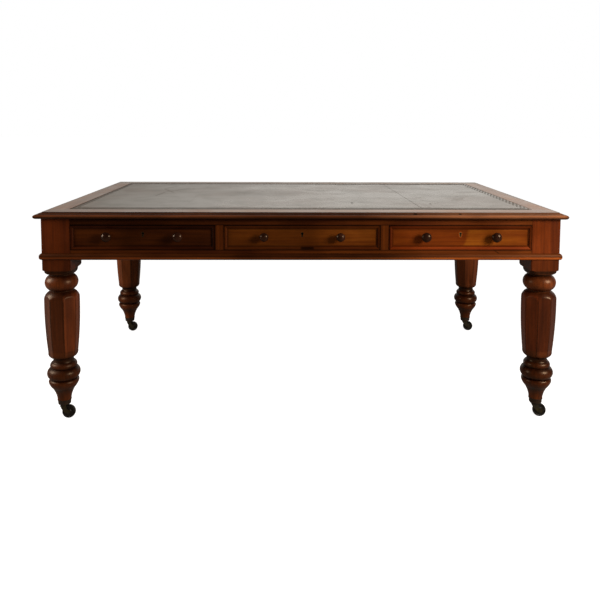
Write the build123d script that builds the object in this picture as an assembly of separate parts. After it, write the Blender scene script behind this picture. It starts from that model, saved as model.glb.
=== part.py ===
from build123d import *
import os
from math import sqrt

# Partners desk: a leather-topped mahogany writing table with three drawers on each long side,
# on four turned and faceted legs with brass casters.
# Millimetres. +Z is up, the front faces -Y, and the origin is on the floor below the centre.

# Overall sizes
desk_width = 1886.0
desk_depth = 1106.0
desk_height = 770.0

# Frame
top_thickness = 21.0
top_overhang = 22.0
post_side = 101.0
post_depth = 122.0
top_rail_height = 25.0
drawer_opening_height = 89.0
bottom_rail_height = 33.0
rail_depth = 60.0
end_rail_thickness = 28.0
centre_rail_thickness = 22.0
centre_rail_lift = 6.0
middle_opening_width = 555.0
divider_width = 31.0
divider_depth = 34.0
tenon_length = 36.0
tenon_thickness = 14.0
tenon_shoulder = 5.0
stub_tenon_length = 7.0

# Bead round the foot of the frame
bead_height = 22.0
bead_projection = 8.5
bead_round_height = 12.0
bead_land_projection = 2.5

# Top: mitred border, tongued panel and leather
border_width = 96.0
border_lip_height = 5.5
border_lip_run = 11.0
border_quirk_height = 1.5
border_nose_run = 12.0
border_nose_drop = 7.5
border_nose_bow_share = 0.19
border_heel_run = 9.0
quarter_bow_share = 0.207
tongue_length = 8.0
tongue_thickness = 6.0
leather_thickness = 1.2
leather_drop = 0.4
centre_leather_width = 880.0
leather_seam = 0.8

# Leg, from the frame down to the ball
block_height = 33.5
pommel_cove_height = 8.0
pommel_band_height = 8.5
pommel_round_height = 11.0
pommel_cove_bow_share = -0.15
pommel_band_radius = 56.4
pommel_flat_recess = 1.7
pommel_disc_radius = 48.0
pommel_disc_height = 2.5
upper_neck_radius = 39.5
upper_neck_height = 2.0
ball_radius = 57.7
ball_height = 55.0
baluster_neck_radius = 40.5
baluster_neck_height = 3.5

# Leg, the faceted baluster
shoulder_height = 35.0
shoulder_bow_share = 0.15
baluster_head_radius = 62.6
baluster_foot_radius = 53.3
baluster_foot_height = 22.5
baluster_foot_bow_share = 0.19
baluster_bow_share = 0.0145
facet_count = 8
facet_depth_share = 0.915

# Leg, from the lower neck down to the foot
lower_neck_radius = 35.7
lower_neck_height = 17.0
small_ring_radius = 47.0
small_ring_root_radius = 38.5
small_ring_height = 21.0
small_ring_crest_share = 0.45
large_ring_radius = 58.0
large_ring_root_radius = 44.5
large_ring_height = 42.0
saucer_radius = 52.5
saucer_root_radius = 47.5
saucer_height = 13.0
saucer_bow_share = 0.18
ogee_height = 66.5
ogee_split_share = 0.68
ogee_waist_radius = 40.0
ogee_hollow_bow_share = -0.062
ogee_swell_bow_share = 0.055
foot_radius = 24.0

# Casters
wheel_diameter = 48.0
wheel_width = 16.0
wheel_crown = 1.4
wheel_dish_depth = 1.6
wheel_rim_width = 4.8
wheel_hub_radius = 9.0
wheel_clearance = 1.3
wheel_side_gap = 0.8
caster_trail = 15.0
collar_radius = 13.0
collar_thickness = 3.0
cheek_thickness = 3.5
cheek_boss_radius = 8.0
cheek_front_reach = 8.0
cheek_back_bow_share = 0.12
cheek_front_bow_share = -0.12
bridge_height = 8.0
axle_radius = 3.5
axle_head_radius = 5.6
axle_head_height = 1.2
stem_radius = 5.0
stem_length = 34.0
cup_height = 20.0
cup_rim_radius = 24.9
cup_base_radius = 18.5
cup_round_height = 7.0
cup_round_radius = 22.6
cup_rim_height = 3.0
cup_rim_step = 0.9
cup_floor = 6.0
spigot_radius = 19.5

# Drawers
drawer_gap = 1.2
drawer_field_recess = 4.0
drawer_board_thickness = 20.0
drawer_moulding_width = 13.0
drawer_moulding_rise = 5.0
drawer_moulding_land = 2.5
drawer_moulding_fillet = 1.0
drawer_moulding_bow_share = 0.14
drawer_side_height = 79.0
drawer_side_thickness = 10.0
drawer_back_space = 41.0
drawer_bottom_thickness = 8.0
drawer_bottom_rise = 10.0
drawer_groove_depth = 4.0
dovetail_count = 4
dovetail_length = 14.0
dovetail_root_share = 0.48
dovetail_tip_share = 0.7

# Runners, kickers and stops
runner_thickness = 22.0
runner_bearing = 20.0
guide_height = 18.0
guide_thickness = 16.0
stop_height = 5.0
stop_length = 40.0
stop_width = 14.0

# Knobs
knob_spread_share = 0.244
knob_rise = 4.0
outer_knob_radius = 17.6
middle_knob_radius = 15.8
knob_length = 30.0
knob_base_radius = 11.0
knob_base_height = 1.5
knob_neck_radius = 7.5
knob_head_foot = 13.5
knob_head_foot_radius = 9.0
knob_rim_height = 20.5
knob_under_bow_share = 0.2
knob_dome_bow_share = 0.13
knob_button_radius = 3.0
knob_dowel_radius = 6.5

# Locks
lock_width = 64.0
lock_height = 44.0
lock_depth = 9.0
lock_back_plate = 1.5
bolt_width = 24.0
bolt_thickness = 4.5
bolt_height = 18.0
bolt_throw = 7.0
bolt_mortise_spare = 3.0
keyhole_radius = 3.6
keyhole_slot_width = 3.4
keyhole_slot_length = 11.0
keyhole_rise = 14.5
escutcheon_wall = 1.2
escutcheon_depth = 3.0

# Clearances
running_gap = 0.3
glue_gap = 0.05
pin_clearance = 0.06
overrun = 5.0

# Levels and half sizes that follow
half_width = desk_width / 2
half_depth = desk_depth / 2
frame_x = half_width - top_overhang
frame_y = half_depth - top_overhang
top_underside = desk_height - top_thickness
opening_top = top_underside - top_rail_height
opening_bottom = opening_top - drawer_opening_height
frame_bottom = opening_bottom - bottom_rail_height
post_x = frame_x - post_side
post_y = frame_y - post_depth
leg_x = frame_x - post_side / 2
leg_y = frame_y - post_side / 2
rail_back = frame_y - rail_depth
end_rail_inside = frame_x - end_rail_thickness
divider_x = middle_opening_width / 2 + divider_width / 2
outer_opening_width = post_x - divider_x - divider_width / 2
outer_drawer_x = post_x - outer_opening_width / 2
centre_rail_face = centre_rail_thickness / 2
drawer_board_back = -frame_y + drawer_field_recess + drawer_board_thickness
drawer_box_length = -drawer_board_back - centre_rail_face - drawer_back_space

cup_bottom = wheel_diameter + wheel_clearance + collar_thickness + running_gap
cup_top = cup_bottom + cup_height


def block(x, y, z):
    """A rectangular block between its low and high limits along each axis."""
    size = Box(abs(x[1] - x[0]), abs(y[1] - y[0]), abs(z[1] - z[0]))
    return Pos((x[0] + x[1]) / 2, (y[0] + y[1]) / 2, (z[0] + z[1]) / 2) * size


def bowed(start, end, share):
    """The point halfway along a run that swells to its right by a share of its length."""
    run = (end[0] - start[0], end[1] - start[1])
    middle = (start[0] + run[0] / 2, start[1] + run[1] / 2)
    return (middle[0] + run[1] * share, middle[1] - run[0] * share)


def closed_face(start, *steps):
    """A flat face from its outline, listed anticlockwise. Each step is a point, or a point and
    the share by which an arc to it swells outwards, or a point that an arc passes and its end."""
    edges = []
    here = start
    for step in steps:
        if isinstance(step[0], tuple):
            edges.append(ThreePointArc(here, step[0], step[1]))
            here = step[1]
        elif len(step) > 2:
            end = step[:2]
            edges.append(ThreePointArc(here, bowed(here, end, step[2]), end))
            here = end
        else:
            edges.append(Line(here, step))
            here = step
    edges.append(Line(here, start))
    return make_face(edges)


def four_corners(shape):
    """The shape made for the front right corner, repeated at the four corners by mirroring."""
    right = [shape, mirror(shape, Plane.XZ)]
    return right + [mirror(each, Plane.YZ) for each in right]


def both_sides(shapes):
    """Shapes made for the front, with the same ones turned round for the back."""
    return shapes + [Rot(0, 0, 180) * each for each in shapes]


# Top

def border_strip(half_run, half_reach):
    """One mitred strip of the moulded border, along X on the positive side of Y.
    Its edge has a rounded lip over a rounded nose, with a small upright quirk between them."""
    inner = half_reach - border_width
    quirk = (half_reach - border_nose_run, desk_height - border_lip_height)
    lip_foot = (quirk[0], quirk[1] + border_quirk_height)
    tip_level = quirk[1] - border_nose_drop
    groove_low = top_underside + (top_thickness - tongue_thickness) / 2
    groove_high = groove_low + tongue_thickness
    section = closed_face(
        (inner, top_underside),
        (half_reach - border_heel_run, top_underside),
        (half_reach, tip_level, quarter_bow_share),
        (quirk[0], quirk[1], border_nose_bow_share),
        lip_foot,
        (quirk[0] - border_lip_run, desk_height, quarter_bow_share),
        (inner, desk_height),
        (inner, groove_high),
        (inner + tongue_length, groove_high),
        (inner + tongue_length, groove_low),
        (inner, groove_low),
    )
    plan = closed_face(
        (-half_run + border_width, inner),
        (half_run - border_width, inner),
        (half_run, half_reach),
        (-half_run, half_reach),
    )
    strip = extrude(Plane.YZ * section, amount=half_run, both=True)
    mitre = Pos(0, 0, top_underside) * extrude(plan, amount=top_thickness)
    return strip & mitre


def make_top_border():
    long_strip = border_strip(half_width, half_depth)
    short_strip = Rot(0, 0, -90) * border_strip(half_depth, half_width)
    return [long_strip, Rot(0, 0, 180) * long_strip, short_strip, Rot(0, 0, 180) * short_strip]


def make_top_panel():
    """The panel inside the border, with a tongue all round in the border's groove."""
    x = half_width - border_width
    y = half_depth - border_width
    panel_top = desk_height - leather_drop - leather_thickness
    panel = block((-x, x), (-y, y), (top_underside, panel_top))
    tongue_low = top_underside + (top_thickness - tongue_thickness) / 2
    reach = tongue_length - running_gap
    tongue = block(
        (-x - reach, x + reach),
        (-y - reach, y + reach),
        (tongue_low, tongue_low + tongue_thickness),
    )
    return [panel + tongue]


def make_leathers():
    """Three skins laid side by side on the panel."""
    x = half_width - border_width - running_gap
    y = half_depth - border_width - running_gap
    seam_x = centre_leather_width / 2
    high = desk_height - leather_drop
    z = (high - leather_thickness, high)
    half_seam = leather_seam / 2
    return {
        "leather_left": [block((-x, -seam_x - half_seam), (-y, y), z)],
        "leather_centre": [block((-seam_x + half_seam, seam_x - half_seam), (-y, y), z)],
        "leather_right": [block((seam_x + half_seam, x), (-y, y), z)],
    }


# Frame

def tenon(x, y, z, along):
    """A tenon's block, held in from the rail's faces by the shoulder on the axes across it."""
    limits = [x, y, z]
    for axis, name in enumerate("xyz"):
        if name != along:
            low, high = limits[axis]
            limits[axis] = (low + tenon_shoulder, high - tenon_shoulder)
    return block(*limits)


def long_rail_tenons(z):
    """The two end tenons of a front rail that lies between the levels z."""
    y_mid = -frame_y + post_side / 2
    y = (y_mid - tenon_thickness / 2 - tenon_shoulder, y_mid + tenon_thickness / 2 + tenon_shoulder)
    right = tenon((post_x, post_x + tenon_length), y, z, "x")
    return [right, mirror(right, Plane.YZ)]


def end_rail_tenons():
    """The two end tenons of the right end rail."""
    x_mid = frame_x - end_rail_thickness / 2
    x = (x_mid - tenon_thickness / 2 - tenon_shoulder, x_mid + tenon_thickness / 2 + tenon_shoulder)
    front = tenon(x, (-post_y - tenon_length, -post_y), (frame_bottom, top_underside), "y")
    return [front, mirror(front, Plane.XZ)]


def divider_tenons():
    """The stub tenons at the head and foot of the divider on the right."""
    x = (divider_x - divider_width / 4, divider_x + divider_width / 4)
    y = (-frame_y + divider_depth / 4, -frame_y + divider_depth * 3 / 4)
    head = block(x, y, (opening_top, opening_top + stub_tenon_length))
    foot = block(x, y, (opening_bottom - stub_tenon_length, opening_bottom))
    return [head, foot]


def long_rail(z):
    """A plain front rail with its end tenons."""
    rail = block((-post_x, post_x), (-frame_y, -rail_back), z)
    for piece in long_rail_tenons(z):
        rail += piece
    return rail


def make_front_top_rail():
    """The rail over the drawers, mortised for the dividers and for the three lock bolts."""
    rail = long_rail((opening_top, top_underside))
    head, foot = divider_tenons()
    rail -= head
    rail -= mirror(head, Plane.YZ)
    for x in (-outer_drawer_x, 0, outer_drawer_x):
        rail -= bolt_mortise(x)
    return rail


def make_front_bottom_rail():
    rail = long_rail((frame_bottom, opening_bottom))
    head, foot = divider_tenons()
    rail -= foot
    rail -= mirror(foot, Plane.YZ)
    return rail


def make_end_rail():
    """The right end rail, housed on its inner face for the centre rail."""
    rail = block((end_rail_inside, frame_x), (-post_y, post_y), (frame_bottom, top_underside))
    for piece in end_rail_tenons():
        rail += piece
    return rail - centre_rail_body()


def centre_rail_body():
    """The long rail between the two rows of drawers, let into the end rails."""
    x = end_rail_inside + stub_tenon_length
    y = (-centre_rail_face, centre_rail_face)
    return block((-x, x), y, (frame_bottom + centre_rail_lift, top_underside))


def make_dividers():
    body = block(
        (divider_x - divider_width / 2, divider_x + divider_width / 2),
        (-frame_y, -frame_y + divider_depth),
        (opening_bottom, opening_top),
    )
    head, foot = divider_tenons()
    return four_corners(body + head + foot)


def bead_strip(half_run, reach):
    """One mitred strip of the bead, along X on the positive side of the frame: a half round
    under a flat land."""
    top = frame_bottom + bead_height
    land = reach + bead_land_projection
    nose = (reach + bead_projection, frame_bottom + bead_round_height / 2)
    section = closed_face(
        (reach, frame_bottom),
        (land, frame_bottom),
        (nose, (land, frame_bottom + bead_round_height)),
        (land, top),
        (reach, top),
    )
    strip = extrude(Plane.YZ * section, amount=half_run + bead_projection, both=True)
    plan = closed_face(
        (-half_run, reach),
        (half_run, reach),
        (half_run + bead_projection, reach + bead_projection),
        (-half_run - bead_projection, reach + bead_projection),
    )
    mitre = Pos(0, 0, frame_bottom) * extrude(plan, amount=bead_height)
    return strip & mitre


def make_bottom_bead():
    long_strip = bead_strip(frame_x, frame_y)
    short_strip = Rot(0, 0, -90) * bead_strip(frame_y, frame_x)
    return [long_strip, Rot(0, 0, 180) * long_strip, short_strip, Rot(0, 0, 180) * short_strip]


def corner_post():
    """The square of the front right post, as high as the frame."""
    return block((post_x, frame_x), (-frame_y, -post_y), (frame_bottom, top_underside))


def bearer_pair(z):
    """The outer and inner bearer of the front right quarter between the levels z.
    The outer one is notched round the post, and the inner one serves two drawers."""
    y = (-rail_back, -centre_rail_face)
    outer = block((post_x - runner_bearing, end_rail_inside), y, z) - corner_post()
    reach = divider_width / 2 + runner_bearing
    inner = block((divider_x - reach, divider_x + reach), y, z)
    return [outer, inner]


def make_runners():
    """The runners that carry the drawers, with a guide glued on each."""
    solids = []
    outer, inner = bearer_pair((opening_bottom - runner_thickness, opening_bottom))
    guide_z = (opening_bottom, opening_bottom + guide_height)
    outer_guide = block((post_x, post_x + guide_thickness), (-post_y, -centre_rail_face), guide_z)
    inner_guide = block(
        (divider_x - divider_width / 2, divider_x + divider_width / 2),
        (-frame_y + divider_depth, -centre_rail_face),
        guide_z,
    )
    for piece in (outer, inner, outer_guide, inner_guide):
        solids += four_corners(piece)
    return solids


def make_kickers():
    """The battens over the drawer sides, which stop an open drawer from tipping."""
    solids = []
    for piece in bearer_pair((opening_top, opening_top + runner_thickness)):
        solids += four_corners(piece)
    return solids


def make_stops():
    """Two blocks for each drawer on the bottom rail, which the drawer's board meets."""
    y = (drawer_board_back + running_gap, drawer_board_back + running_gap + stop_width)
    z = (opening_bottom, opening_bottom + stop_height)
    solids = []
    for centre, width in drawer_places().values():
        for side in (-1, 1):
            middle = centre + side * width / 4
            solids.append(block((middle - stop_length / 2, middle + stop_length / 2), y, z))
    return both_sides(solids)


# Legs

def leg_levels():
    """Heights where the leg's turned forms meet, from the foot up."""
    level = {}
    level["foot"] = cup_top
    level["saucer"] = level["foot"] + ogee_height
    level["large ring"] = level["saucer"] + saucer_height
    level["small ring"] = level["large ring"] + large_ring_height
    level["lower neck"] = level["small ring"] + small_ring_height
    level["baluster foot"] = level["lower neck"] + lower_neck_height
    level["baluster"] = level["baluster foot"] + baluster_foot_height
    level["block"] = frame_bottom - block_height
    level["pommel band"] = level["block"] - pommel_cove_height
    level["pommel round"] = level["pommel band"] - pommel_band_height
    level["pommel disc"] = level["pommel round"] - pommel_round_height
    level["upper neck"] = level["pommel disc"] - pommel_disc_height
    level["ball top"] = level["upper neck"] - upper_neck_height
    level["ball foot"] = level["ball top"] - ball_height
    level["shoulder top"] = level["ball foot"] - baluster_neck_height
    level["shoulder"] = level["shoulder top"] - shoulder_height
    return level


def turned_blank():
    """The leg as it comes off the lathe, from the spigot in the caster's cup to a wide head."""
    z = leg_levels()
    corner_radius = post_side / 2 * sqrt(2)
    spigot_foot = cup_bottom + cup_floor
    outline = closed_face(
        (0, spigot_foot),
        (spigot_radius, spigot_foot),
        (spigot_radius, z["foot"]),
        (foot_radius, z["foot"]),
        (ogee_waist_radius, z["foot"] + ogee_height * ogee_split_share, ogee_hollow_bow_share),
        (saucer_radius, z["saucer"], ogee_swell_bow_share),
        (saucer_root_radius, z["large ring"], saucer_bow_share),
        (large_ring_root_radius, z["large ring"]),
        (
            (large_ring_radius, z["large ring"] + large_ring_height / 2),
            (large_ring_root_radius, z["small ring"]),
        ),
        (
            (small_ring_radius, z["small ring"] + small_ring_height * small_ring_crest_share),
            (small_ring_root_radius, z["lower neck"]),
        ),
        (
            (lower_neck_radius, z["lower neck"] + lower_neck_height / 2),
            (small_ring_root_radius, z["baluster foot"]),
        ),
        (baluster_foot_radius, z["baluster"], baluster_foot_bow_share),
        (baluster_head_radius, z["shoulder"], baluster_bow_share),
        (baluster_neck_radius, z["shoulder top"], shoulder_bow_share),
        (baluster_neck_radius, z["ball foot"]),
        ((ball_radius, z["ball foot"] + ball_height / 2), (upper_neck_radius, z["ball top"])),
        (upper_neck_radius, z["upper neck"]),
        (pommel_disc_radius, z["upper neck"]),
        (pommel_disc_radius, z["pommel disc"]),
        (pommel_band_radius, z["pommel round"], quarter_bow_share),
        (pommel_band_radius, z["pommel band"]),
        (corner_radius, z["block"], pommel_cove_bow_share),
        (corner_radius + overrun, z["block"]),
        (corner_radius + overrun, top_underside),
        (0, top_underside),
    )
    return revolve(Plane.XZ * outline)


def facet_form():
    """The eight-sided body whose faces follow the baluster's long curve."""
    z = leg_levels()
    head = baluster_head_radius * facet_depth_share
    foot = baluster_foot_radius * facet_depth_share
    outline = closed_face(
        (-foot, z["baluster foot"]),
        (foot, z["baluster foot"]),
        (foot, z["baluster"]),
        (head, z["shoulder"], baluster_bow_share),
        (head, z["shoulder top"]),
        (-head, z["shoulder top"]),
        (-head, z["shoulder"]),
        (-foot, z["baluster"], baluster_bow_share),
    )
    slab = extrude(Plane.XZ * outline, amount=baluster_head_radius + overrun, both=True)
    form = slab
    for turn in range(1, facet_count // 2):
        form = form & (Rot(0, 0, turn * 360 / facet_count) * slab)
    return form


def outside(form, z):
    """The waste outside a form between two levels of the leg."""
    wide = post_side + ball_radius
    return block((-wide, wide), (-wide, wide), z) - form


def squared(half, z):
    """The waste outside a square of the given half side between two levels of the leg."""
    return outside(block((-half, half), (-half, half), z), z)


def make_leg():
    """The front right leg: turned, faceted, squared at the head and mortised for the rails.
    The head is deeper than it is wide, on the side towards the middle of the desk."""
    z = leg_levels()
    half = post_side / 2
    leg = turned_blank()
    leg -= squared(half - pommel_flat_recess, (z["pommel disc"], z["pommel band"]))
    leg -= squared(half, (z["pommel band"], top_underside + overrun))
    leg -= outside(facet_form(), (z["baluster foot"], z["shoulder top"]))
    leg += block((-half, half), (-half, post_depth - half), (z["block"], top_underside))
    stem_top = cup_bottom - running_gap + stem_length + running_gap
    leg -= Pos(0, 0, stem_top / 2) * Cylinder(stem_radius + pin_clearance, stem_top)
    leg = Pos(leg_x, -leg_y, 0) * leg
    tenons = long_rail_tenons((opening_top, top_underside)) + long_rail_tenons((frame_bottom, opening_bottom))
    for piece in tenons + end_rail_tenons():
        leg -= piece
    return leg


# Casters

def make_cup():
    """The brass cup on the foot of the front right leg, with its rim and socket."""
    rim_foot = cup_top - cup_rim_height
    body_rim = cup_rim_radius - cup_rim_step
    section = closed_face(
        (stem_radius + pin_clearance, cup_bottom),
        (cup_base_radius, cup_bottom),
        (cup_round_radius, cup_bottom + cup_round_height, quarter_bow_share),
        (body_rim, rim_foot),
        (cup_rim_radius, rim_foot),
        (cup_rim_radius, cup_top),
        (spigot_radius + glue_gap, cup_top),
        (spigot_radius + glue_gap, cup_bottom + cup_floor - glue_gap),
        (stem_radius + pin_clearance, cup_bottom + cup_floor - glue_gap),
    )
    return Pos(leg_x, -leg_y, 0) * revolve(Plane.XZ * section)


def wheel_centre():
    return wheel_diameter / 2


def make_fork():
    """The horn of a caster at the origin: collar and stem, bridge, two cheeks and the axle."""
    high = cup_bottom - running_gap
    low = high - collar_thickness
    centre = wheel_diameter / 2
    inside = wheel_width / 2 + wheel_side_gap
    outside = inside + cheek_thickness
    boss = cheek_boss_radius
    at_axle = Pos(caster_trail, 0, centre) * Rot(90, 0, 0)
    cheek_face = closed_face(
        (-collar_radius, high),
        (-collar_radius, low),
        (caster_trail, centre - boss, cheek_back_bow_share),
        ((caster_trail + boss, centre), (caster_trail, centre + boss)),
        (cheek_front_reach, low, cheek_front_bow_share),
        (cheek_front_reach, high),
    )
    cheek = Plane.XZ.offset(inside) * extrude(cheek_face, amount=cheek_thickness)
    bridge = block((-collar_radius, cheek_front_reach), (-outside, outside), (high - bridge_height, high))
    bridge -= at_axle * Cylinder(centre + wheel_clearance, inside * 2)
    collar = Pos(0, 0, (low + high) / 2) * Cylinder(collar_radius, collar_thickness)
    stem = Pos(0, 0, high + stem_length / 2) * Cylinder(stem_radius, stem_length)
    horn = cheek + mirror(cheek, Plane.XZ) + bridge + collar + stem
    horn -= at_axle * Cylinder(axle_radius + glue_gap, outside * 2 + overrun)
    pin = at_axle * Cylinder(axle_radius, outside * 2)
    for side in (-1, 1):
        head_at = Pos(0, side * (outside + axle_head_height / 2), 0)
        pin += head_at * at_axle * Cylinder(axle_head_radius, axle_head_height)
    return [horn, pin]


def make_wheel():
    """A crowned wheel with a dished face on each side, bored for the axle."""
    rim = wheel_diameter / 2
    half = wheel_width / 2
    edge = rim - wheel_crown
    bore = axle_radius + pin_clearance
    dish = half - wheel_dish_depth
    dish_rim = rim - wheel_rim_width
    section = closed_face(
        (bore, -half),
        (wheel_hub_radius, -half),
        (wheel_hub_radius + wheel_dish_depth, -dish),
        (dish_rim - wheel_dish_depth, -dish),
        (dish_rim, -half),
        (edge, -half),
        ((rim, 0), (edge, half)),
        (dish_rim, half),
        (dish_rim - wheel_dish_depth, dish),
        (wheel_hub_radius + wheel_dish_depth, dish),
        (wheel_hub_radius, half),
        (bore, half),
    )
    solid = revolve(Plane.XZ * section)
    return Pos(caster_trail, 0, rim) * Rot(90, 0, 0) * solid


# Drawers

def drawer_places():
    """Centre and opening width of the three drawers of one side."""
    return {
        "left": (-outer_drawer_x, outer_opening_width),
        "middle": (0, middle_opening_width),
        "right": (outer_drawer_x, outer_opening_width),
    }


def face_limits(width):
    """Half width, low and high level of a drawer's face."""
    return width / 2 - drawer_gap, opening_bottom + drawer_gap, opening_top - drawer_gap


def knob_places(width):
    level = (opening_top + opening_bottom) / 2 + knob_rise
    return [(side * width * knob_spread_share, level) for side in (-1, 1)]


def keyhole_face(margin):
    """The keyhole's outline in the XZ plane, let out by a margin: a round over a straight slot."""
    radius = keyhole_radius + margin
    half_slot = keyhole_slot_width / 2 + margin
    level = (opening_top + opening_bottom) / 2 + keyhole_rise
    meet = level - sqrt(radius * radius - half_slot * half_slot)
    foot = level - keyhole_slot_length - margin
    return closed_face(
        (-half_slot, foot),
        (half_slot, foot),
        (half_slot, meet),
        ((0, level + radius), (-half_slot, meet)),
    )


def keyhole_cut(margin, front, back):
    """The keyhole as a straight cutter between two places along Y."""
    return Pos(0, front, 0) * extrude(Plane.XZ * keyhole_face(margin), amount=-(back - front))


def dovetails(half):
    """The tails at the front end of the right side of a drawer box, as one list of blocks."""
    low = opening_bottom + running_gap + drawer_bottom_rise / 2
    pitch = (drawer_side_height - drawer_bottom_rise / 2) / dovetail_count
    root = pitch * dovetail_root_share / 2
    tip = pitch * dovetail_tip_share / 2
    tails = []
    for number in range(dovetail_count):
        middle = low + (number + 1 / 2) * pitch
        tail = closed_face(
            (drawer_board_back, middle - root),
            (drawer_board_back, middle + root),
            (drawer_board_back - dovetail_length, middle + tip),
            (drawer_board_back - dovetail_length, middle - tip),
        )
        solid = extrude(Plane.YZ * tail, amount=drawer_side_thickness)
        tails.append(Pos(half - drawer_side_thickness, 0, 0) * solid)
    return tails


def lock_case_limits():
    """The lock's place behind the drawer's face: half width, and limits along Y and Z."""
    high = opening_top - drawer_gap
    y = (drawer_board_back - lock_depth, drawer_board_back)
    return lock_width / 2, y, (high - lock_height, high)


def bolt_limits(spare):
    """The bolt's block at rest, let out by a clearance on every side."""
    half, y, z = lock_case_limits()
    y_mid = (y[0] + y[1] - lock_back_plate) / 2
    return (
        (-bolt_width / 2 - spare, bolt_width / 2 + spare),
        (y_mid - bolt_thickness / 2 - spare, y_mid + bolt_thickness / 2 + spare),
        (z[1] - bolt_height - spare, z[1]),
    )


def bolt_mortise(x):
    """The mortise in the top rail that a raised bolt enters."""
    x_limits, y, z = bolt_limits(drawer_gap)
    high = opening_top + bolt_throw - drawer_gap + bolt_mortise_spare
    return Pos(x, 0, 0) * block(x_limits, y, (opening_top - overrun, high))


def moulding_strip(half_run, reach):
    """One mitred strip of the drawer's moulding, along X at the top, face towards -Y.
    It has a flat land outside and a hollow slope down to the field."""
    field = -frame_y + drawer_field_recess
    face = field - drawer_moulding_rise
    inner = reach - drawer_moulding_width
    fillet = field - drawer_moulding_fillet
    section = closed_face(
        (field, reach),
        (face, reach),
        (face, reach - drawer_moulding_land),
        (fillet, inner + drawer_moulding_land, drawer_moulding_bow_share),
        (fillet, inner),
        (field, inner),
    )
    strip = extrude(Plane.YZ * section, amount=half_run, both=True)
    plan = closed_face(
        (-half_run + drawer_moulding_width, inner),
        (half_run - drawer_moulding_width, inner),
        (half_run, reach),
        (-half_run, reach),
    )
    mitre = Pos(0, field, 0) * extrude(Plane.XZ * plan, amount=drawer_moulding_rise * 2, both=True)
    return strip & mitre


def make_drawer_face(width):
    """The drawer's board with its four mitred moulding strips."""
    half, low, high = face_limits(width)
    field = -frame_y + drawer_field_recess
    back = drawer_board_back
    board = block((-half, half), (field, back), (low, high))
    for tail in dovetails(width / 2 - drawer_gap):
        board -= tail
        board -= mirror(tail, Plane.YZ)
    groove_low = opening_bottom + running_gap + drawer_bottom_rise
    groove_x = half - drawer_side_thickness
    board -= block(
        (-groove_x, groove_x),
        (back - drawer_groove_depth, back + overrun),
        (groove_low, groove_low + drawer_bottom_thickness),
    )
    lock_half, lock_y, lock_z = lock_case_limits()
    board -= block((-lock_half, lock_half), (lock_y[0], back + overrun), (lock_z[0], high + overrun))
    board -= keyhole_cut(0, field - overrun, back)
    board -= keyhole_cut(escutcheon_wall, field - overrun, field + escutcheon_depth)
    for x, level in knob_places(width):
        board -= Pos(x, (field + back) / 2, level) * Rot(90, 0, 0) * Cylinder(
            knob_dowel_radius + glue_gap, drawer_board_thickness + overrun
        )
    middle = (low + high) / 2
    half_height = (high - low) / 2
    upper = moulding_strip(half, half_height)
    side = Rot(0, -90, 0) * moulding_strip(half_height, half)
    strips = [upper, Rot(0, 180, 0) * upper, side, Rot(0, 180, 0) * side]
    return [board] + [Pos(0, 0, middle) * strip for strip in strips]


def make_drawer_box(width):
    """Two dovetailed sides, a back and a bottom held in grooves."""
    half = width / 2 - drawer_gap
    front = drawer_board_back
    back = front + drawer_box_length
    low = opening_bottom + running_gap
    high = low + drawer_side_height
    groove_z = (low + drawer_bottom_rise, low + drawer_bottom_rise + drawer_bottom_thickness)
    inner = half - drawer_side_thickness
    bottom = block(
        (-inner - drawer_groove_depth, inner + drawer_groove_depth),
        (front, back),
        groove_z,
    )
    bottom += block((-inner, inner), (front - drawer_groove_depth, front), groove_z)
    side = block((inner, half), (front, back), (low, high)) - bottom
    for tail in dovetails(half):
        side += tail
    rear = block((-inner, inner), (back - drawer_side_thickness, back), (groove_z[1], high))
    return [side, mirror(side, Plane.YZ), rear, bottom]


def make_knobs(width, radius):
    """Two turned knobs: a flat base, a hollow neck and a wide domed head, on a dowel."""
    section = closed_face(
        (0, -drawer_board_thickness),
        (knob_dowel_radius, -drawer_board_thickness),
        (knob_dowel_radius, 0),
        (knob_base_radius, 0),
        (knob_base_radius, knob_base_height),
        (
            (knob_neck_radius, (knob_base_height + knob_head_foot) / 2),
            (knob_head_foot_radius, knob_head_foot),
        ),
        (radius, knob_rim_height, knob_under_bow_share),
        (knob_button_radius, knob_length, knob_dome_bow_share),
        (0, knob_length),
    )
    turned = Rot(90, 0, 0) * revolve(Plane.XZ * section)
    field = -frame_y + drawer_field_recess
    return [Pos(x, field, level) * turned for x, level in knob_places(width)]


def make_lock():
    """The lock's case with its bolt slot and keyhole, and the thin brass lining of the keyhole."""
    half, y, z = lock_case_limits()
    case = block((-half, half), y, z)
    slot_x, slot_y, slot_z = bolt_limits(running_gap)
    case -= block(slot_x, slot_y, (slot_z[0], slot_z[1] + overrun))
    case -= keyhole_cut(0, y[0] - overrun, y[1] - lock_back_plate)
    field = -frame_y + drawer_field_recess
    lining = keyhole_cut(escutcheon_wall - glue_gap, field, field + escutcheon_depth - glue_gap)
    lining -= keyhole_cut(0, field - overrun, field + escutcheon_depth + overrun)
    return [case, lining]


def make_bolt():
    return [block(*bolt_limits(0))]


def make_drawers():
    """The six drawers, three a side, each as five nodes."""
    nodes = {}
    for side, turn in (("front", 0), ("rear", 180)):
        for place, (centre, width) in drawer_places().items():
            radius = middle_knob_radius if place == "middle" else outer_knob_radius
            parts = {
                "drawer_face": make_drawer_face(width),
                "drawer_box": make_drawer_box(width),
                "drawer_knobs": make_knobs(width, radius),
                "drawer_lock": make_lock(),
                "lock_bolt": make_bolt(),
            }
            place_at = Pos(centre, 0, 0) * Rot(0, 0, turn)
            for name, solids in parts.items():
                nodes[f"{side}_{place}_{name}"] = [place_at * solid for solid in solids]
    return nodes


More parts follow.
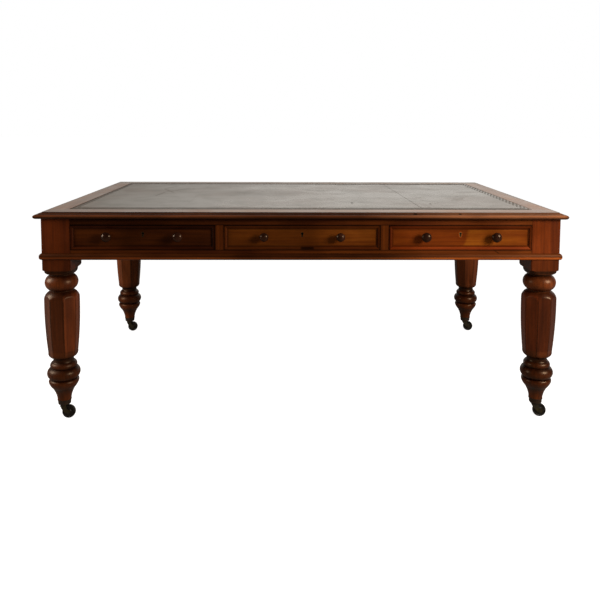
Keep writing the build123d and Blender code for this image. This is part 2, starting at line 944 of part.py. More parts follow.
def make_frame():
    nodes = {}
    front_top = make_front_top_rail()
    front_bottom = make_front_bottom_rail()
    end_rail = make_end_rail()
    nodes["front_top_rail"] = [front_top]
    nodes["rear_top_rail"] = [Rot(0, 0, 180) * front_top]
    nodes["front_bottom_rail"] = [front_bottom]
    nodes["rear_bottom_rail"] = [Rot(0, 0, 180) * front_bottom]
    nodes["right_end_rail"] = [end_rail]
    nodes["left_end_rail"] = [Rot(0, 0, 180) * end_rail]
    nodes["centre_rail"] = [centre_rail_body()]
    nodes["drawer_dividers"] = make_dividers()
    nodes["bottom_bead"] = make_bottom_bead()
    nodes["drawer_runners"] = make_runners()
    nodes["drawer_kickers"] = make_kickers()
    nodes["drawer_stops"] = make_stops()
    return nodes


def make_legs_and_casters():
    nodes = {}
    leg = make_leg()
    cup = make_cup()
    fork = make_fork()
    wheel = make_wheel()
    nodes["caster_cups"] = four_corners(cup)
    legs = {
        "front_right": (leg, 1, -1),
        "rear_right": (mirror(leg, Plane.XZ), 1, 1),
        "front_left": (mirror(leg, Plane.YZ), -1, -1),
        "rear_left": (Rot(0, 0, 180) * leg, -1, 1),
    }
    for name, (solid, x_side, y_side) in legs.items():
        corner = Pos(x_side * leg_x, y_side * leg_y, 0)
        nodes[f"{name}_leg"] = [solid]
        nodes[f"{name}_caster_fork"] = [corner * piece for piece in fork]
        nodes[f"{name}_caster_wheel"] = [corner * wheel]
    return nodes


def single_solids(shapes):
    """Every solid in a list of shapes, flat."""
    solids = []
    for shape in shapes:
        solids += shape.solids()
    return solids


def main():
    nodes = {"top_panel": make_top_panel(), "top_border": make_top_border()}
    nodes.update(make_leathers())
    nodes.update(make_frame())
    nodes.update(make_legs_and_casters())
    nodes.update(make_drawers())
    os.makedirs("parts", exist_ok=True)
    for name, shapes in nodes.items():
        solids = single_solids(shapes)
        export_step(Compound(children=solids, label=name), f"parts/{name}.step")
    print(len(nodes), "nodes written")


main()
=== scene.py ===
import math

import bpy
import numpy as np
from mathutils import Euler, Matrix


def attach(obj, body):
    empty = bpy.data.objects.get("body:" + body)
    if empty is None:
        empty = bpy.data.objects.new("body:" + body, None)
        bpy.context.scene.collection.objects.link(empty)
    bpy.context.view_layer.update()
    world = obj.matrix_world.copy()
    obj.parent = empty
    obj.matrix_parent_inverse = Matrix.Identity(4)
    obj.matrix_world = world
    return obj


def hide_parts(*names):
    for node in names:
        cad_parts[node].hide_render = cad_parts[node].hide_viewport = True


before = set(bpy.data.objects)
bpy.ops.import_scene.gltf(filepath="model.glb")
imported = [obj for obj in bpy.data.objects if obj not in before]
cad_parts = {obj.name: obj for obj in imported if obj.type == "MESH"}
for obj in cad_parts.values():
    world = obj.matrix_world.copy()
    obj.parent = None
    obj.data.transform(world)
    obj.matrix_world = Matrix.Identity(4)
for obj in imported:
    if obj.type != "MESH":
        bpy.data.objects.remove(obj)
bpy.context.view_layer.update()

# A leather-topped partners desk of worn polished mahogany, on turned and faceted legs with brass casters.
# Metres. The pieces made here stand in the places of the CAD nodes that they replace.

MM = 0.001

# Sizes shared with the frame, in metres
HALF_WIDTH = 943 * MM
HALF_DEPTH = 553 * MM
BORDER_WIDTH = 96 * MM
FRAME_X = 921 * MM
FRAME_Y = 531 * MM
LEG_X = 870.5 * MM
LEG_Y = 480.5 * MM
SEAM_X = 440 * MM
LEATHER_LEVEL = 769.6 * MM
LEATHER_THICKNESS = 1.2 * MM
DRAWER_MIDDLE_Z = 679.5 * MM
DRAWER_HALF_HEIGHT = 43.3 * MM
MOULDING_WIDTH = 13 * MM
# Each drawer's middle and half its width
DRAWER_PLACES = {
    "left": (-564.25 * MM, 254.55 * MM),
    "middle": (0.0, 276.3 * MM),
    "right": (564.25 * MM, 254.55 * MM),
}
# The right seam was cut a little askew: it lies nearer the middle at the back
SEAM_SHIFT = -4 * MM
SEAM_SLANT = 0.026


# Nodes and colours

def linear(code):
    """A colour written as sRGB hex, turned to linear light with an alpha of 1."""
    steps = [int(code[i:i + 2], 16) / 255 for i in (1, 3, 5)]
    return tuple(c / 12.92 if c <= 0.04045 else ((c + 0.055) / 1.055) ** 2.4 for c in steps) + (1.0,)


def add(tree, kind, sockets=(), **settings):
    """Adds one shader node with its settings. Its sockets get values or sources, listed in the
    node's own order or by name. A node given as a source stands for its first output in use."""
    node = tree.nodes.new("ShaderNode" + kind)
    for name, value in settings.items():
        setattr(node, name, value)
    named = sockets if isinstance(sockets, dict) else dict(enumerate(sockets))
    for key, value in named.items():
        socket = node.inputs[key] if isinstance(key, int) else next(
            s for s in node.inputs if s.enabled and s.name == key)
        if isinstance(value, bpy.types.Node):
            value = next(s for s in value.outputs if s.enabled)
        if isinstance(value, bpy.types.NodeSocket):
            tree.links.new(value, socket)
        else:
            socket.default_value = value
    return node


def empty_tree(owner):
    """The cleared node tree of a material or a world."""
    owner.use_nodes = True
    owner.node_tree.nodes.clear()
    return owner.node_tree


def finished(name, recipe):
    """A material with one Principled shader, whose sockets the recipe gives for its tree."""
    material = bpy.data.materials.new(name)
    tree = empty_tree(material)
    add(tree, "OutputMaterial", {"Surface": add(tree, "BsdfPrincipled", recipe(tree))})
    return material


def made(tree, way):
    """What a function gives for the tree and the values that are listed after it."""
    function, *values = way
    return function(tree, *values)


def places(tree):
    """The three Object coordinates, apart."""
    return add(tree, "SeparateXYZ", [add(tree, "TexCoord").outputs["Object"]]).outputs


def distance(tree, value, middle):
    """How far a value lies from a middle, on either side."""
    off = add(tree, "Math", [value, middle], operation="SUBTRACT")
    return add(tree, "Math", [off], operation="ABSOLUTE")


def product(tree, parts):
    """Colours and tones multiplied one by one."""
    whole = parts[0]
    for part in parts[1:]:
        whole = add(tree, "VectorMath", [whole, part], operation="MULTIPLY")
    return whole


# Wood

# Mahogany's lengths, along and across the grain: the broad figure, the ribbons in it and its pores,
# which are drawn four times coarser than real ones. Then the cloudiness of old polish, in
# millimetres, and half the width of a mitre's dark line.
FIGURE = (420 * MM, 46 * MM)
STREAK = (240 * MM, 7 * MM)
PORE = (26 * MM, 1.7 * MM)
HANDLING = 150
MITRE_LINE = 0.9 * MM
# The amber of old shellac, which warms what the polish mirrors
POLISH = "#ffdcb4"
# Each kind of board as a deep and a light colour, between which its figure moves
BROWN = ("#4c200a", "#6c340f")
GOLDEN = ("#7a380e", "#9c5418")
LEG = ("#54240d", "#783a17")
FADED = ("#744e37", "#9a7153")


def straight_axes(tree, grain):
    """Object coordinates put in an order with the grain's own axis first, and no mitre."""
    split = places(tree)
    order = {"x": "XYZ", "y": "YXZ", "z": "ZXY"}[grain]
    return add(tree, "CombineXYZ", [split[name] for name in order]), None


def mitred_axes(tree, first, second, centre, inner):
    """The same for four strips mitred round a rectangle: strips run along the first axis, and along
    the second where the way out past the rectangle's side is longer on the first. The mitre's thin
    line is where both ways out are equal."""
    split = places(tree)
    out = [add(tree, "Math", [distance(tree, split[axis], middle), half], operation="SUBTRACT")
           for axis, middle, half in zip((first, second), centre, inner)]
    past = add(tree, "Math", [out[1], 0.0], operation="MAXIMUM")
    turned = add(tree, "Math", [out[0], past], operation="GREATER_THAN")
    rest = "XYZ".replace(first, "").replace(second, "")
    orders = [add(tree, "CombineXYZ", [split[a], split[b], split[rest]])
              for a, b in ((first, second), (second, first))]
    axes = add(tree, "Mix", {"Factor": turned, "A": orders[0], "B": orders[1]}, data_type="VECTOR")
    line = add(tree, "Math", [distance(tree, out[0], out[1]), MITRE_LINE], operation="LESS_THAN")
    outside = add(tree, "Math", [out[0], 0.0], operation="GREATER_THAN")
    return axes, product(tree, [line, outside])


def stretched_noise(tree, axes, size, seed, detail, distortion=0.0):
    """Noise drawn out along the grain: size is its length along it and its width across."""
    scale = (1 / size[0], 1 / size[1], 1 / size[1])
    scaled = add(tree, "VectorMath", [axes, scale], operation="MULTIPLY")
    moved = add(tree, "VectorMath", [scaled, (seed * 3.1, seed * 7.7, seed * 5.3)], operation="ADD")
    return add(tree, "TexNoise", {"Vector": moved, "Scale": 1.0, "Detail": detail, "Distortion": distortion})


def patches(tree, size, detail, distortion=0.0, roughness=0.5):
    """Noise in even patches, whose size is in millimetres."""
    place = add(tree, "TexCoord").outputs["Object"]
    return add(tree, "TexNoise", {"Vector": place, "Scale": 1 / (size * MM), "Detail": detail,
                                  "Roughness": roughness, "Distortion": distortion})


def figured(tree, figure, streak, share, spread, colours):
    """A colour between a deep and a light one: a share of the broad figure and the rest of the
    streaks are added, and the colours are reached at the spread below and above a half."""
    broad = add(tree, "Math", [figure, share], operation="MULTIPLY")
    both = add(tree, "Math", [streak, 1 - share, broad], operation="MULTIPLY_ADD")
    ribbon = add(tree, "MapRange", [both, 0.5 - spread, 0.5 + spread])
    deep, light = (linear(colour) for colour in colours)
    return add(tree, "Mix", {"Factor": ribbon, "A": deep, "B": light}, data_type="RGBA")


def mahogany(name, axes, colours, tone, seed, roughness=(0.32, 0.48), ior=1.3, marks=(), gloss=None):
    """Mahogany, French polished and waxed over a long time: a deep red-brown with slow golden
    ribbons, fine dark pores along the grain, darker clouds of old wax, and a soft uneven gloss.
    Each mark multiplies the colour. The IOR is below wax's own, because the old polish is dull when
    it is looked at squarely, and gloss gives the level of its mirroring where that isn't even."""
    def recipe(tree):
        grain, mitre = made(tree, axes)
        figure = stretched_noise(tree, grain, FIGURE, seed, 3.0, 0.8)
        streak = stretched_noise(tree, grain, STREAK, seed + 11, 4.0, 0.2)
        pore = stretched_noise(tree, grain, PORE, seed + 23, 2.0)
        handled = patches(tree, HANDLING, 4.0)
        parts = [figured(tree, figure, streak, 0.68, 0.14, colours)]
        # The noise that a part of the tone follows, its span, and the tones at the span's ends
        for noise, low, high, at_low, at_high in (
                (streak, 0.35, 0.6, 0.92, 1.04),
                (pore, 0.3, 0.46, 0.84, 1.0),
                (handled, 0.34, 0.64, 0.78 * tone, 1.14 * tone)):
            parts.append(add(tree, "MapRange", [noise, low, high, at_low, at_high]))
        if mitre:
            parts.append(add(tree, "MapRange", [mitre, 0.0, 1.0, 1.0, 0.6]))
        sockets = {
            "Base Color": product(tree, parts + [made(tree, mark) for mark in marks]),
            "Roughness": add(tree, "MapRange", [handled, 0.34, 0.66, roughness[0], roughness[1]]),
            "IOR": ior,
            "Specular Tint": linear(POLISH),
            "Normal": add(tree, "Bump", {"Strength": 0.2, "Distance": 0.25 * MM, "Height": streak}),
        }
        if gloss:
            sockets["Specular IOR Level"] = gloss(tree)
        return sockets
    return finished(name, recipe)


# Marks: each function's result multiplies a colour

NO_CHANGE = (1.0, 1.0, 1.0)


def by_distance(tree, length, stops):
    """A tone read from a length: stops are pairs of millimetres and tone, joined by straight runs.
    The ramp holds half of each tone, so that tones up to 2 fit."""
    low, high = stops[0][0], stops[-1][0]
    share = add(tree, "MapRange", [length, low * MM, high * MM])
    ramp = add(tree, "ValToRGB", {"Fac": share})
    points = ramp.color_ramp.elements
    for at, _ in stops[1:-1]:
        points.new((at - low) / (high - low))
    for point, (_, tone) in zip(points, stops):
        point.color = (tone / 2, tone / 2, tone / 2, 1.0)
    return product(tree, [ramp.outputs["Color"], (2.0, 2.0, 2.0)])


def run_mark(tree, axis, stops):
    """A tone along an axis: stops are pairs of a place in millimetres and a tone."""
    return by_distance(tree, places(tree)[axis], stops)


def drift(tree, axis, low, high, at_low=0.0, at_high=1.0):
    """A slow change along an axis between two places in millimetres."""
    return add(tree, "MapRange", [places(tree)[axis], low * MM, high * MM, at_low, at_high])


def zone_mark(tree, tint, *ends):
    """A tint inside a zone: each of its ends is a drift from outside to inside."""
    share = product(tree, [drift(tree, *end) for end in ends])
    return add(tree, "Mix", {"Factor": share, "A": NO_CHANGE, "B": tint}, data_type="VECTOR")


def attribute_mark(tree, name, at_full):
    """A tone that falls to at_full where the piece's own attribute is 1."""
    read = add(tree, "Attribute", attribute_name=name).outputs["Fac"]
    return add(tree, "MapRange", [read, 0.0, 1.0, 1.0, at_full])


def dark_near(tree, lengths, together="MULTIPLY"):
    """Dark tones near places: each of lengths is a distance, the width at which the dark has
    faded, which starts at four tenths of it, and the tone."""
    tone = None
    for away, width, depth in lengths:
        one = add(tree, "MapRange", [away, width * 0.4 * MM, width * MM, depth, 1.0])
        tone = one if tone is None else add(tree, "Math", [tone, one], operation=together)
    return tone


def line_marks(tree, lines):
    """Dark lines: dirt in joints, and painted shade in the gaps round the drawers. Each is an axis, a
    place on both sides of 0, a half width and a tone, in millimetres."""
    split = places(tree)
    lengths = []
    for axis, value, width, depth in lines:
        size = add(tree, "Math", [split[axis]], operation="ABSOLUTE")
        lengths.append((distance(tree, size, value * MM), width, depth))
    return dark_near(tree, lengths)


def crack_mark(tree, axes, runs, width, depth):
    """Thin dark breaks along straight runs between two places, given in millimetres on two axes:
    the distance to a run is that to its nearest point, found from the share of the way along it."""
    split = places(tree)
    here = add(tree, "CombineXYZ", [split[axes[0]], split[axes[1]]])
    lengths = []
    for start, end in runs:
        a = np.array([*start, 0.0]) * MM
        run = np.array([*end, 0.0]) * MM - a
        off = add(tree, "VectorMath", [here, tuple(a)], operation="SUBTRACT")
        share = add(tree, "VectorMath", [off, tuple(run / (run @ run))], operation="DOT_PRODUCT")
        share = add(tree, "MapRange", [share])
        on_run = add(tree, "VectorMath", {0: tuple(run), "Scale": share}, operation="SCALE")
        away = add(tree, "VectorMath", [off, on_run], operation="DISTANCE")
        lengths.append((away, width, depth))
    return dark_near(tree, lengths, "MINIMUM")


def spot_marks(tree, spots):
    """Small dark nicks: each is a place in millimetres, a radius and a tone."""
    place = add(tree, "TexCoord").outputs["Object"]
    lengths = []
    for centre, radius, depth in spots:
        middle = tuple(np.array(centre) * MM)
        lengths.append((add(tree, "VectorMath", [place, middle], operation="DISTANCE"), radius, depth))
    return dark_near(tree, lengths)


def ring_mark(tree, centre, stops):
    """A tone by the distance from a place in millimetres. Six tenths of it count upwards, and none
    of it along Y, so that the ring is taller than wide."""
    place = add(tree, "TexCoord").outputs["Object"]
    off = add(tree, "VectorMath", [place, tuple(np.array(centre) * MM)], operation="SUBTRACT")
    flat = product(tree, [off, (1.0, 0.0, 0.6)])
    return by_distance(tree, add(tree, "VectorMath", [flat], operation="LENGTH"), stops)


# Marks of the drawers

# The redder wood of the drawers' mouldings
STRIP_TINT = (1.0, 0.85, 1.1)
# A drawer's front from its field out to its edge, in millimetres from the moulding's inner edge:
# dirt and painted shade in the hollow, the moulding's worn face, a painted highlight on its arris,
# and painted shade in the gap round it
DRAWER_TONES = [(-60, 1.0), (-14, 0.97), (-4, 0.9), (-1.5, 0.66), (0.6, 0.46), (2.2, 0.7), (4.0, 0.98),
                (9.0, 1.0), (10.4, 1.1), (11.2, 0.75), (12.2, 0.3), (13.5, 0.18)]


def drawer_mark(tree, middle, half, strips):
    """The tone across a drawer's moulding, by the larger of the two ways out of its field, and the
    tones of its strips, which are painted light and shade by the way each strip's slope faces the
    lamps: the left end's, the right end's, the lower and the upper one's."""
    split = places(tree)
    ways = []
    tones = []
    for axis, centre, reach, pair in (("X", middle, half, strips[:2]),
                                      ("Z", DRAWER_MIDDLE_Z, DRAWER_HALF_HEIGHT, strips[2:])):
        size = distance(tree, split[axis], centre)
        ways.append(add(tree, "Math", [size, reach - MOULDING_WIDTH], operation="SUBTRACT"))
        tones.append(drift(tree, axis, centre / MM - 0.5, centre / MM + 0.5, *pair))
    way = add(tree, "Math", [ways[0], ways[1]], operation="MAXIMUM")
    ends = add(tree, "Math", [ways[0], ways[1]], operation="GREATER_THAN")
    strip = add(tree, "MapRange", [ends, 0.0, 1.0, tones[1], tones[0]])
    on_strip = add(tree, "MapRange", [way, 0.0, 2.5 * MM])
    strip = add(tree, "MapRange", [on_strip, 0.0, 1.0, 1.0, strip])
    tint = add(tree, "Mix", {"Factor": on_strip, "A": NO_CHANGE, "B": STRIP_TINT}, data_type="VECTOR")
    return product(tree, [by_distance(tree, way, DRAWER_TONES), strip, tint])


# The golden patch's start and the run in which it fades, on X, its lean and raggedness, and what
# the wood keeps of red, green and blue round it and in it
PATCH_EDGE = 377 * MM
PATCH_FADE = (640, 840)
PATCH_LEAN = -0.32
PATCH_RAGGED = 26 * MM
PATCH_ROUND = (0.8, 0.62, 0.54, 1.0)
PATCH_GOLD = (1.34, 1.48, 1.1, 1.0)


def patch_mark(tree):
    """The golden patch in the right front drawer, where old polish was scraped off: right of a
    slanted edge and left of a soft one, inside the mouldings."""
    split = places(tree)
    lean = add(tree, "Math", [split["Z"], PATCH_LEAN, split["X"]], operation="MULTIPLY_ADD")
    edge = add(tree, "Math", [patches(tree, 34, 4.0), PATCH_RAGGED, lean], operation="MULTIPLY_ADD")
    start = add(tree, "MapRange", [edge, PATCH_EDGE, PATCH_EDGE + 11 * MM])
    above = distance(tree, split["Z"], DRAWER_MIDDLE_Z)
    field = add(tree, "MapRange", [above, 26 * MM, 31 * MM, 1.0, 0.0])
    share = product(tree, [start, drift(tree, "X", *PATCH_FADE, 1.0, 0.0), field])
    return add(tree, "Mix", {"Factor": share, "A": PATCH_ROUND, "B": PATCH_GOLD}, data_type="RGBA")


# What only the front drawers show: slow tones along the left and the middle one, nicks in the
# middle one, and in the right one the golden patch and the worn ring round the keyhole
FRONT_DRAWER_MARKS = {
    "left": [(run_mark, "X", [(-820, 1.0), (-700, 0.85), (-610, 0.64), (-520, 0.72), (-380, 0.58)])],
    "middle": [
        (run_mark, "X", [(-270, 0.68), (-170, 0.74), (-60, 0.64), (20, 0.72), (130, 1.02), (270, 1.2)]),
        (spot_marks, [((x, -534.0, 643.0), 9.0, 0.2) for x in (0, 9, 18, 27, 36)])],
    "right": [
        (patch_mark,),
        (ring_mark, (564.25, -526.0, 690.5),
         [(0, 1.0), (3.6, 1.0), (4.2, 2.0), (6.4, 2.0), (7.6, 1.0), (60, 1.0)])],
}


# Marks of the border

# The top's edge by the length along its outline, from the flat's end: painted shade on the step, a
# painted highlight on the lip's upper part, painted shade in the quirk, the nose with a painted
# highlight on its tip, and painted shade on the underside
FLAT_END = 92.5
EDGE_TONES = [(-6, 1.0), (-4.5, 0.5), (0, 0.35), (2.6, 0.3), (3.1, 1.4), (7.0, 1.5), (8.5, 0.75),
              (12.0, 0.6), (12.8, 0.35), (14.6, 0.4), (17, 0.7), (22.0, 0.9), (25.0, 1.3), (31.0, 1.3),
              (33.0, 0.65), (37, 0.4), (110.0, 0.4)]
# What the edge keeps of the red, green and blue of the flat, from left to right: its own deeper red,
# with painted light from the sides, most at the right
EDGE_LEFT = (0.41, 0.24, 0.16)
EDGE_MIDDLE = (0.21, 0.115, 0.075)
EDGE_RIGHT = (0.7, 0.53, 0.42)
# The back strip is painted greyer and lighter than the others, a painted reflection of the bright room
# at a low angle
BACK_SHEEN_TINT = (0.9, 1.2, 1.5)


def edge_mark(tree):
    """The top's moulded edge, outside its flat, kept its deeper red under the old polish. Painted light
    from the sides makes it darkest about the middle, lighter to the left, and lightest at the right,
    up to a painted shadow at the corner."""
    run = add(tree, "Attribute", attribute_name="run").outputs["Fac"]
    past = add(tree, "Math", [run, FLAT_END], operation="SUBTRACT")
    past = add(tree, "Math", [past, MM], operation="MULTIPLY")
    tone = by_distance(tree, past, EDGE_TONES)
    outside = add(tree, "MapRange", [past, -1.0 * MM, 0.5 * MM])
    old = add(tree, "Mix", {"Factor": drift(tree, "X", -400, -150), "A": EDGE_LEFT, "B": EDGE_MIDDLE},
              data_type="VECTOR")
    red = add(tree, "Mix", {"Factor": drift(tree, "X", 200, 560), "A": old, "B": EDGE_RIGHT},
              data_type="VECTOR")
    kept = add(tree, "Mix", {"Factor": outside, "A": NO_CHANGE, "B": red}, data_type="VECTOR")
    return product(tree, [tone, drift(tree, "X", 927, 940, 1.0, 0.4), kept])


def edge_gloss(tree):
    """The border's level of mirroring: the usual 0.5 on the flat, and a third of it on the edge."""
    run = add(tree, "Attribute", attribute_name="run").outputs["Fac"]
    return add(tree, "MapRange", [run, FLAT_END - 5, FLAT_END - 4, 0.5, 0.15])


# Marks of the rails and the bead

# The top rail by height: painted shade up under the top's overhanging edge, lighter towards its foot
RAIL_TONES = [(720, 1.15), (732, 1.0), (741, 0.85), (749, 0.6), (752, 0.6)]
# The bead by height: painted shade on its underside, a painted highlight on the lower half of
# the round, where it is also rubbed, and its duller upper half between painted shade in its groove
# and a dark line at its joint with the frame
BEAD_TONES = [(598, 0.3), (600.5, 0.6), (603, 1.9), (608.5, 1.9), (611, 0.6), (613, 0.38), (615, 0.5),
              (620.5, 0.58), (622.3, 0.36), (626, 0.5)]
# The bead along the desk: darker about the middle and lighter towards the ends, most at the right,
# as painted light from the lamps at the sides
BEAD_RUN = [(-900, 1.12), (-450, 1.12), (-200, 0.76), (230, 0.8), (600, 1.9), (900, 1.9)]
# The bottom rail's old repair: a thin let-in strip, whose joint shows as a dark line
REPAIR = [((688.3, 632.3), (717.6, 613.2)), ((717.6, 613.2), (818.2, 613.2))]
# The dirt where the rails meet the posts, and the heights of the drawers' openings, along whose
# edges the gaps' shade is painted
POST_LINE = ("X", 820.0, 2.2, 0.5)
END_POST_LINE = ("Y", 409.0, 2.2, 0.5)
OPENING_TOP = 724.5
OPENING_FOOT = 635.5


# Marks of the legs

# A leg's tone from the foot up, in millimetres over the floor: darker about the lower rings and under
# the block, and paler on the post than on the block under the bead
LEG_TONES = [(50, 0.84), (135, 0.8), (150, 0.5), (232, 0.46), (256, 0.8), (450, 0.85), (480, 1.18),
             (535, 1.12), (545, 0.6), (556, 0.6), (561, 0.74), (598, 0.76), (604, 1.38), (750, 1.38)]
# What the block's and the post's polish keep of the red, green and blue of the leg's wood
BLOCK_TINT = (1.03, 0.82, 0.55)
POST_TINT = (1.07, 0.8, 0.42)
# Each leg's tone, its post's, its roughness, and its left, middle and right flats' painted light
# and shade, by the way each faces the lamps, and their tint
LEG_LOOKS = {
    "front_left": (0.9, 0.6, (0.36, 0.5), (0.75, 0.83, 1.6), (1.0, 0.97, 1.1)),
    "front_right": (0.84, 0.81, (0.28, 0.42), (1.3, 0.68, 0.6), (1.0, 0.82, 0.88)),
    "rear_left": (1.0, 0.7, (0.3, 0.44), (1.25, 1.25, 1.3), (1.0, 1.08, 1.15)),
    "rear_right": (0.9, 0.7, (0.3, 0.44), (1.0, 1.05, 1.05), (1.0, 1.0, 1.1)),
}


def post_mark(tree, tone):
    """The block's redder polish, and over it the post's own, with the post's tone."""
    post = tuple(tone * p / b for p, b in zip(POST_TINT, BLOCK_TINT))
    on_block = zone_mark(tree, BLOCK_TINT, ("Z", 548, 562))
    return product(tree, [on_block, zone_mark(tree, post, ("Z", 598, 604))])


def flat_light_and_shade(tree, x, tones, tint):
    """The painted light and shade and the tint of a baluster's flats, which lie between two heights,
    by the distance right of the leg's middle: each side is lighter or darker by how it faces the lamps."""
    left, middle, right = tones
    offsets = [(-62, left), (-24, left), (-22, middle), (22, middle), (24, right), (62, right)]
    colour = product(tree, [run_mark(tree, "X", [(x / MM + off, tone) for off, tone in offsets]), tint])
    return zone_mark(tree, colour, ("Z", 258, 264), ("Z", 466, 478, 1.0, 0.0))


# Leather

LEATHER_BROWN = "#776859"
LEATHER_GREY = "#807a71"
LEATHER_OLIVE = "#726e63"
# Across the tooled band, in millimetres in from the leather's edge: the joint, two blind lines and
# the roped strip between them, drawn wider than a real one so that it shows
BAND_TONES = [(0, 0.08), (3.4, 0.12), (4.6, 0.8), (5.4, 0.85), (6.4, 0.4), (8.4, 0.4), (9.4, 0.8),
              (17.0, 0.8), (18.2, 0.5), (20.0, 0.5), (22.0, 1.0)]
# The right end's band, where the rope is deep and the joint is clean
RIGHT_BAND_TONES = [(0, 0.8), (2.5, 0.88), (29, 0.88), (31, 1.0), (60, 1.0)]
# The length of one turn of the rope, on the long sides and at the right end, where it leans
ROPE = 18 * MM
END_ROPE = 14 * MM
END_SLANT = 0.35
# The band on the long sides is wider by one over this
LONG_SIDE_SHARE = 0.45
# The brown stain's middle, and one over its reach along X and Y, in metres
STAIN_PLACE = (-0.215, 0.045, 0.77)
STAIN_SPREAD = (1 / 0.24, 1 / 0.17, 0.0)
# Small dark scuffs, drawn long because they are seen at a low angle, and a dark spot at the front
SCUFFS = [((200.5, -283), (200.5, -267)), ((505, -304), (505, -296))]
DARK_SPOT = ((-552.0, -452.0, 770.0), 16.0, 0.3)
# Long creases, from place to place in millimetres
CREASES = [((-197, 12), (-60, 22)), ((-60, 22), (90, 14)), ((90, 14), (198, 20)), ((-588, 328), (-627, 200)),
           ((-627, 200), (-560, 60)), ((-516, 241), (-602, 78)), ((-602, 78), (-616, -60))]


def seam_mark(tree):
    """The butted seams between the three skins: clear on the right, and nearly closed on the left."""
    split = places(tree)
    size = add(tree, "Math", [split["X"]], operation="ABSOLUTE")
    right = add(tree, "Math", [split["X"], 0.0], operation="GREATER_THAN")
    seam = add(tree, "Math", [split["Y"], -SEAM_SLANT, SEAM_X + SEAM_SHIFT], operation="MULTIPLY_ADD")
    seam = add(tree, "MapRange", [right, 0.0, 1.0, SEAM_X, seam])
    depth = add(tree, "MapRange", [right, 0.0, 1.0, 0.97, 0.92])
    return add(tree, "MapRange", [distance(tree, size, seam), 1.4 * MM, 3.2 * MM, depth, 1.0])


def stain_mark(tree):
    """A broad brown stain left of the middle, where the wax has gone."""
    place = add(tree, "TexCoord").outputs["Object"]
    moved = add(tree, "VectorMath", [place, STAIN_PLACE], operation="SUBTRACT")
    away = add(tree, "VectorMath", [product(tree, [moved, STAIN_SPREAD])], operation="LENGTH")
    edge = add(tree, "Math", [patches(tree, 90, 5.0), 1.4, away], operation="MULTIPLY_ADD")
    return add(tree, "MapRange", [edge, 0.9, 1.7, 0.92, 1.0])


def tooled_band(tree):
    """The band tooled near the leather's edges: tones by the way in from the nearest edge, times the
    rope's twist, a sine that runs along X plus Y, and at the right end along a slant of its own.
    The rope is worn away to the left."""
    split = places(tree)
    ways = []
    for axis, edge in (("X", HALF_WIDTH - BORDER_WIDTH), ("Y", HALF_DEPTH - BORDER_WIDTH)):
        size = add(tree, "Math", [split[axis]], operation="ABSOLUTE")
        ways.append(add(tree, "Math", [edge, size], operation="SUBTRACT"))
    ways[1] = add(tree, "Math", [ways[1], LONG_SIDE_SHARE], operation="MULTIPLY")
    way_in = add(tree, "Math", [ways[0], ways[1]], operation="MINIMUM")
    at_end = add(tree, "Math", [ways[0], ways[1]], operation="LESS_THAN")
    to_right = add(tree, "Math", [split["X"], 0.0], operation="GREATER_THAN")
    at_right = product(tree, [at_end, to_right])
    band = add(tree, "Mix", {"Factor": at_right, "A": by_distance(tree, way_in, BAND_TONES),
                             "B": by_distance(tree, way_in, RIGHT_BAND_TONES)}, data_type="VECTOR")

    run = add(tree, "Math", [split["X"], split["Y"]], operation="ADD")
    turn = add(tree, "Math", [run, 2 * math.pi / ROPE], operation="MULTIPLY")
    slant = add(tree, "Math", [split["Y"], -END_SLANT, split["X"]], operation="MULTIPLY_ADD")
    end_turn = add(tree, "Math", [slant, 2 * math.pi / END_ROPE], operation="MULTIPLY")
    turn = add(tree, "Mix", {"Factor": at_right, "A": turn, "B": end_turn})
    wave = add(tree, "Math", [turn], operation="SINE")
    twist = add(tree, "MapRange", [wave, -0.3, 0.3, 0.84, 1.1])
    reach = add(tree, "MapRange", [at_right, 0.0, 1.0, 21.5 * MM, 30 * MM])
    inside = add(tree, "Math", [way_in, reach], operation="LESS_THAN")
    inside = product(tree, [inside, drift(tree, "X", -500, 300)])
    return product(tree, [band, add(tree, "MapRange", [inside, 0.0, 1.0, 1.0, twist])])


def desk_leather(tree):
    """Goat skiver, dyed, waxed and worn: a greyed taupe with brown and olive clouds where it was
    leant on, fine creases, a blind-tooled band near the edges and dark dirt in the joints. Wax
    makes it shine softly at a low angle, less so in the clouds and the tooling."""
    cloud = patches(tree, 300, 5.0, 0.5)
    stain = patches(tree, 95, 3.0)
    fold = patches(tree, 210, 2.0, 0.6)
    place = add(tree, "TexCoord").outputs["Object"]
    grain = add(tree, "TexVoronoi", {"Vector": place, "Scale": 1 / (2.2 * MM)})
    clouded = add(tree, "MapRange", [cloud, 0.36, 0.6])
    stained = add(tree, "MapRange", [stain, 0.52, 0.7])
    dyed = add(tree, "Mix", {"Factor": clouded, "A": linear(LEATHER_BROWN), "B": linear(LEATHER_GREY)},
               data_type="RGBA")
    dyed = add(tree, "Mix", {"Factor": stained, "A": dyed, "B": linear(LEATHER_OLIVE)}, data_type="RGBA")

    creased = add(tree, "MapRange", [distance(tree, fold, 0.5), 0.0, 0.012, 0.93, 1.0])
    creased = add(tree, "MapRange", [cloud, 0.5, 0.56, creased, 1.0])
    tone = product(tree, [
        # Painted shade: the leather is darker towards the left, away from the light at the right
        tooled_band(tree), creased, drift(tree, "X", -850, -150, 0.84, 1.0), spot_marks(tree, [DARK_SPOT]),
        crack_mark(tree, "XY", CREASES, 6.0, 0.86), crack_mark(tree, "XY", SCUFFS, 5.5, 0.4),
        seam_mark(tree), stain_mark(tree)])

    even = add(tree, "MapRange", [stain, 0.34, 0.68, 0.26, 0.32])
    dull = add(tree, "Math", [clouded, -0.04, even], operation="MULTIPLY_ADD")
    level = add(tree, "SeparateXYZ", [tone])
    return {
        "Base Color": product(tree, [dyed, tone]),
        "Roughness": add(tree, "MapRange", [level, 0.2, 1.0, 0.95, dull]),
        "IOR": 1.54,
        "Normal": add(tree, "Bump", {"Strength": 0.03, "Distance": 0.2 * MM, "Height": grain}),
    }


# Metal and plain parts

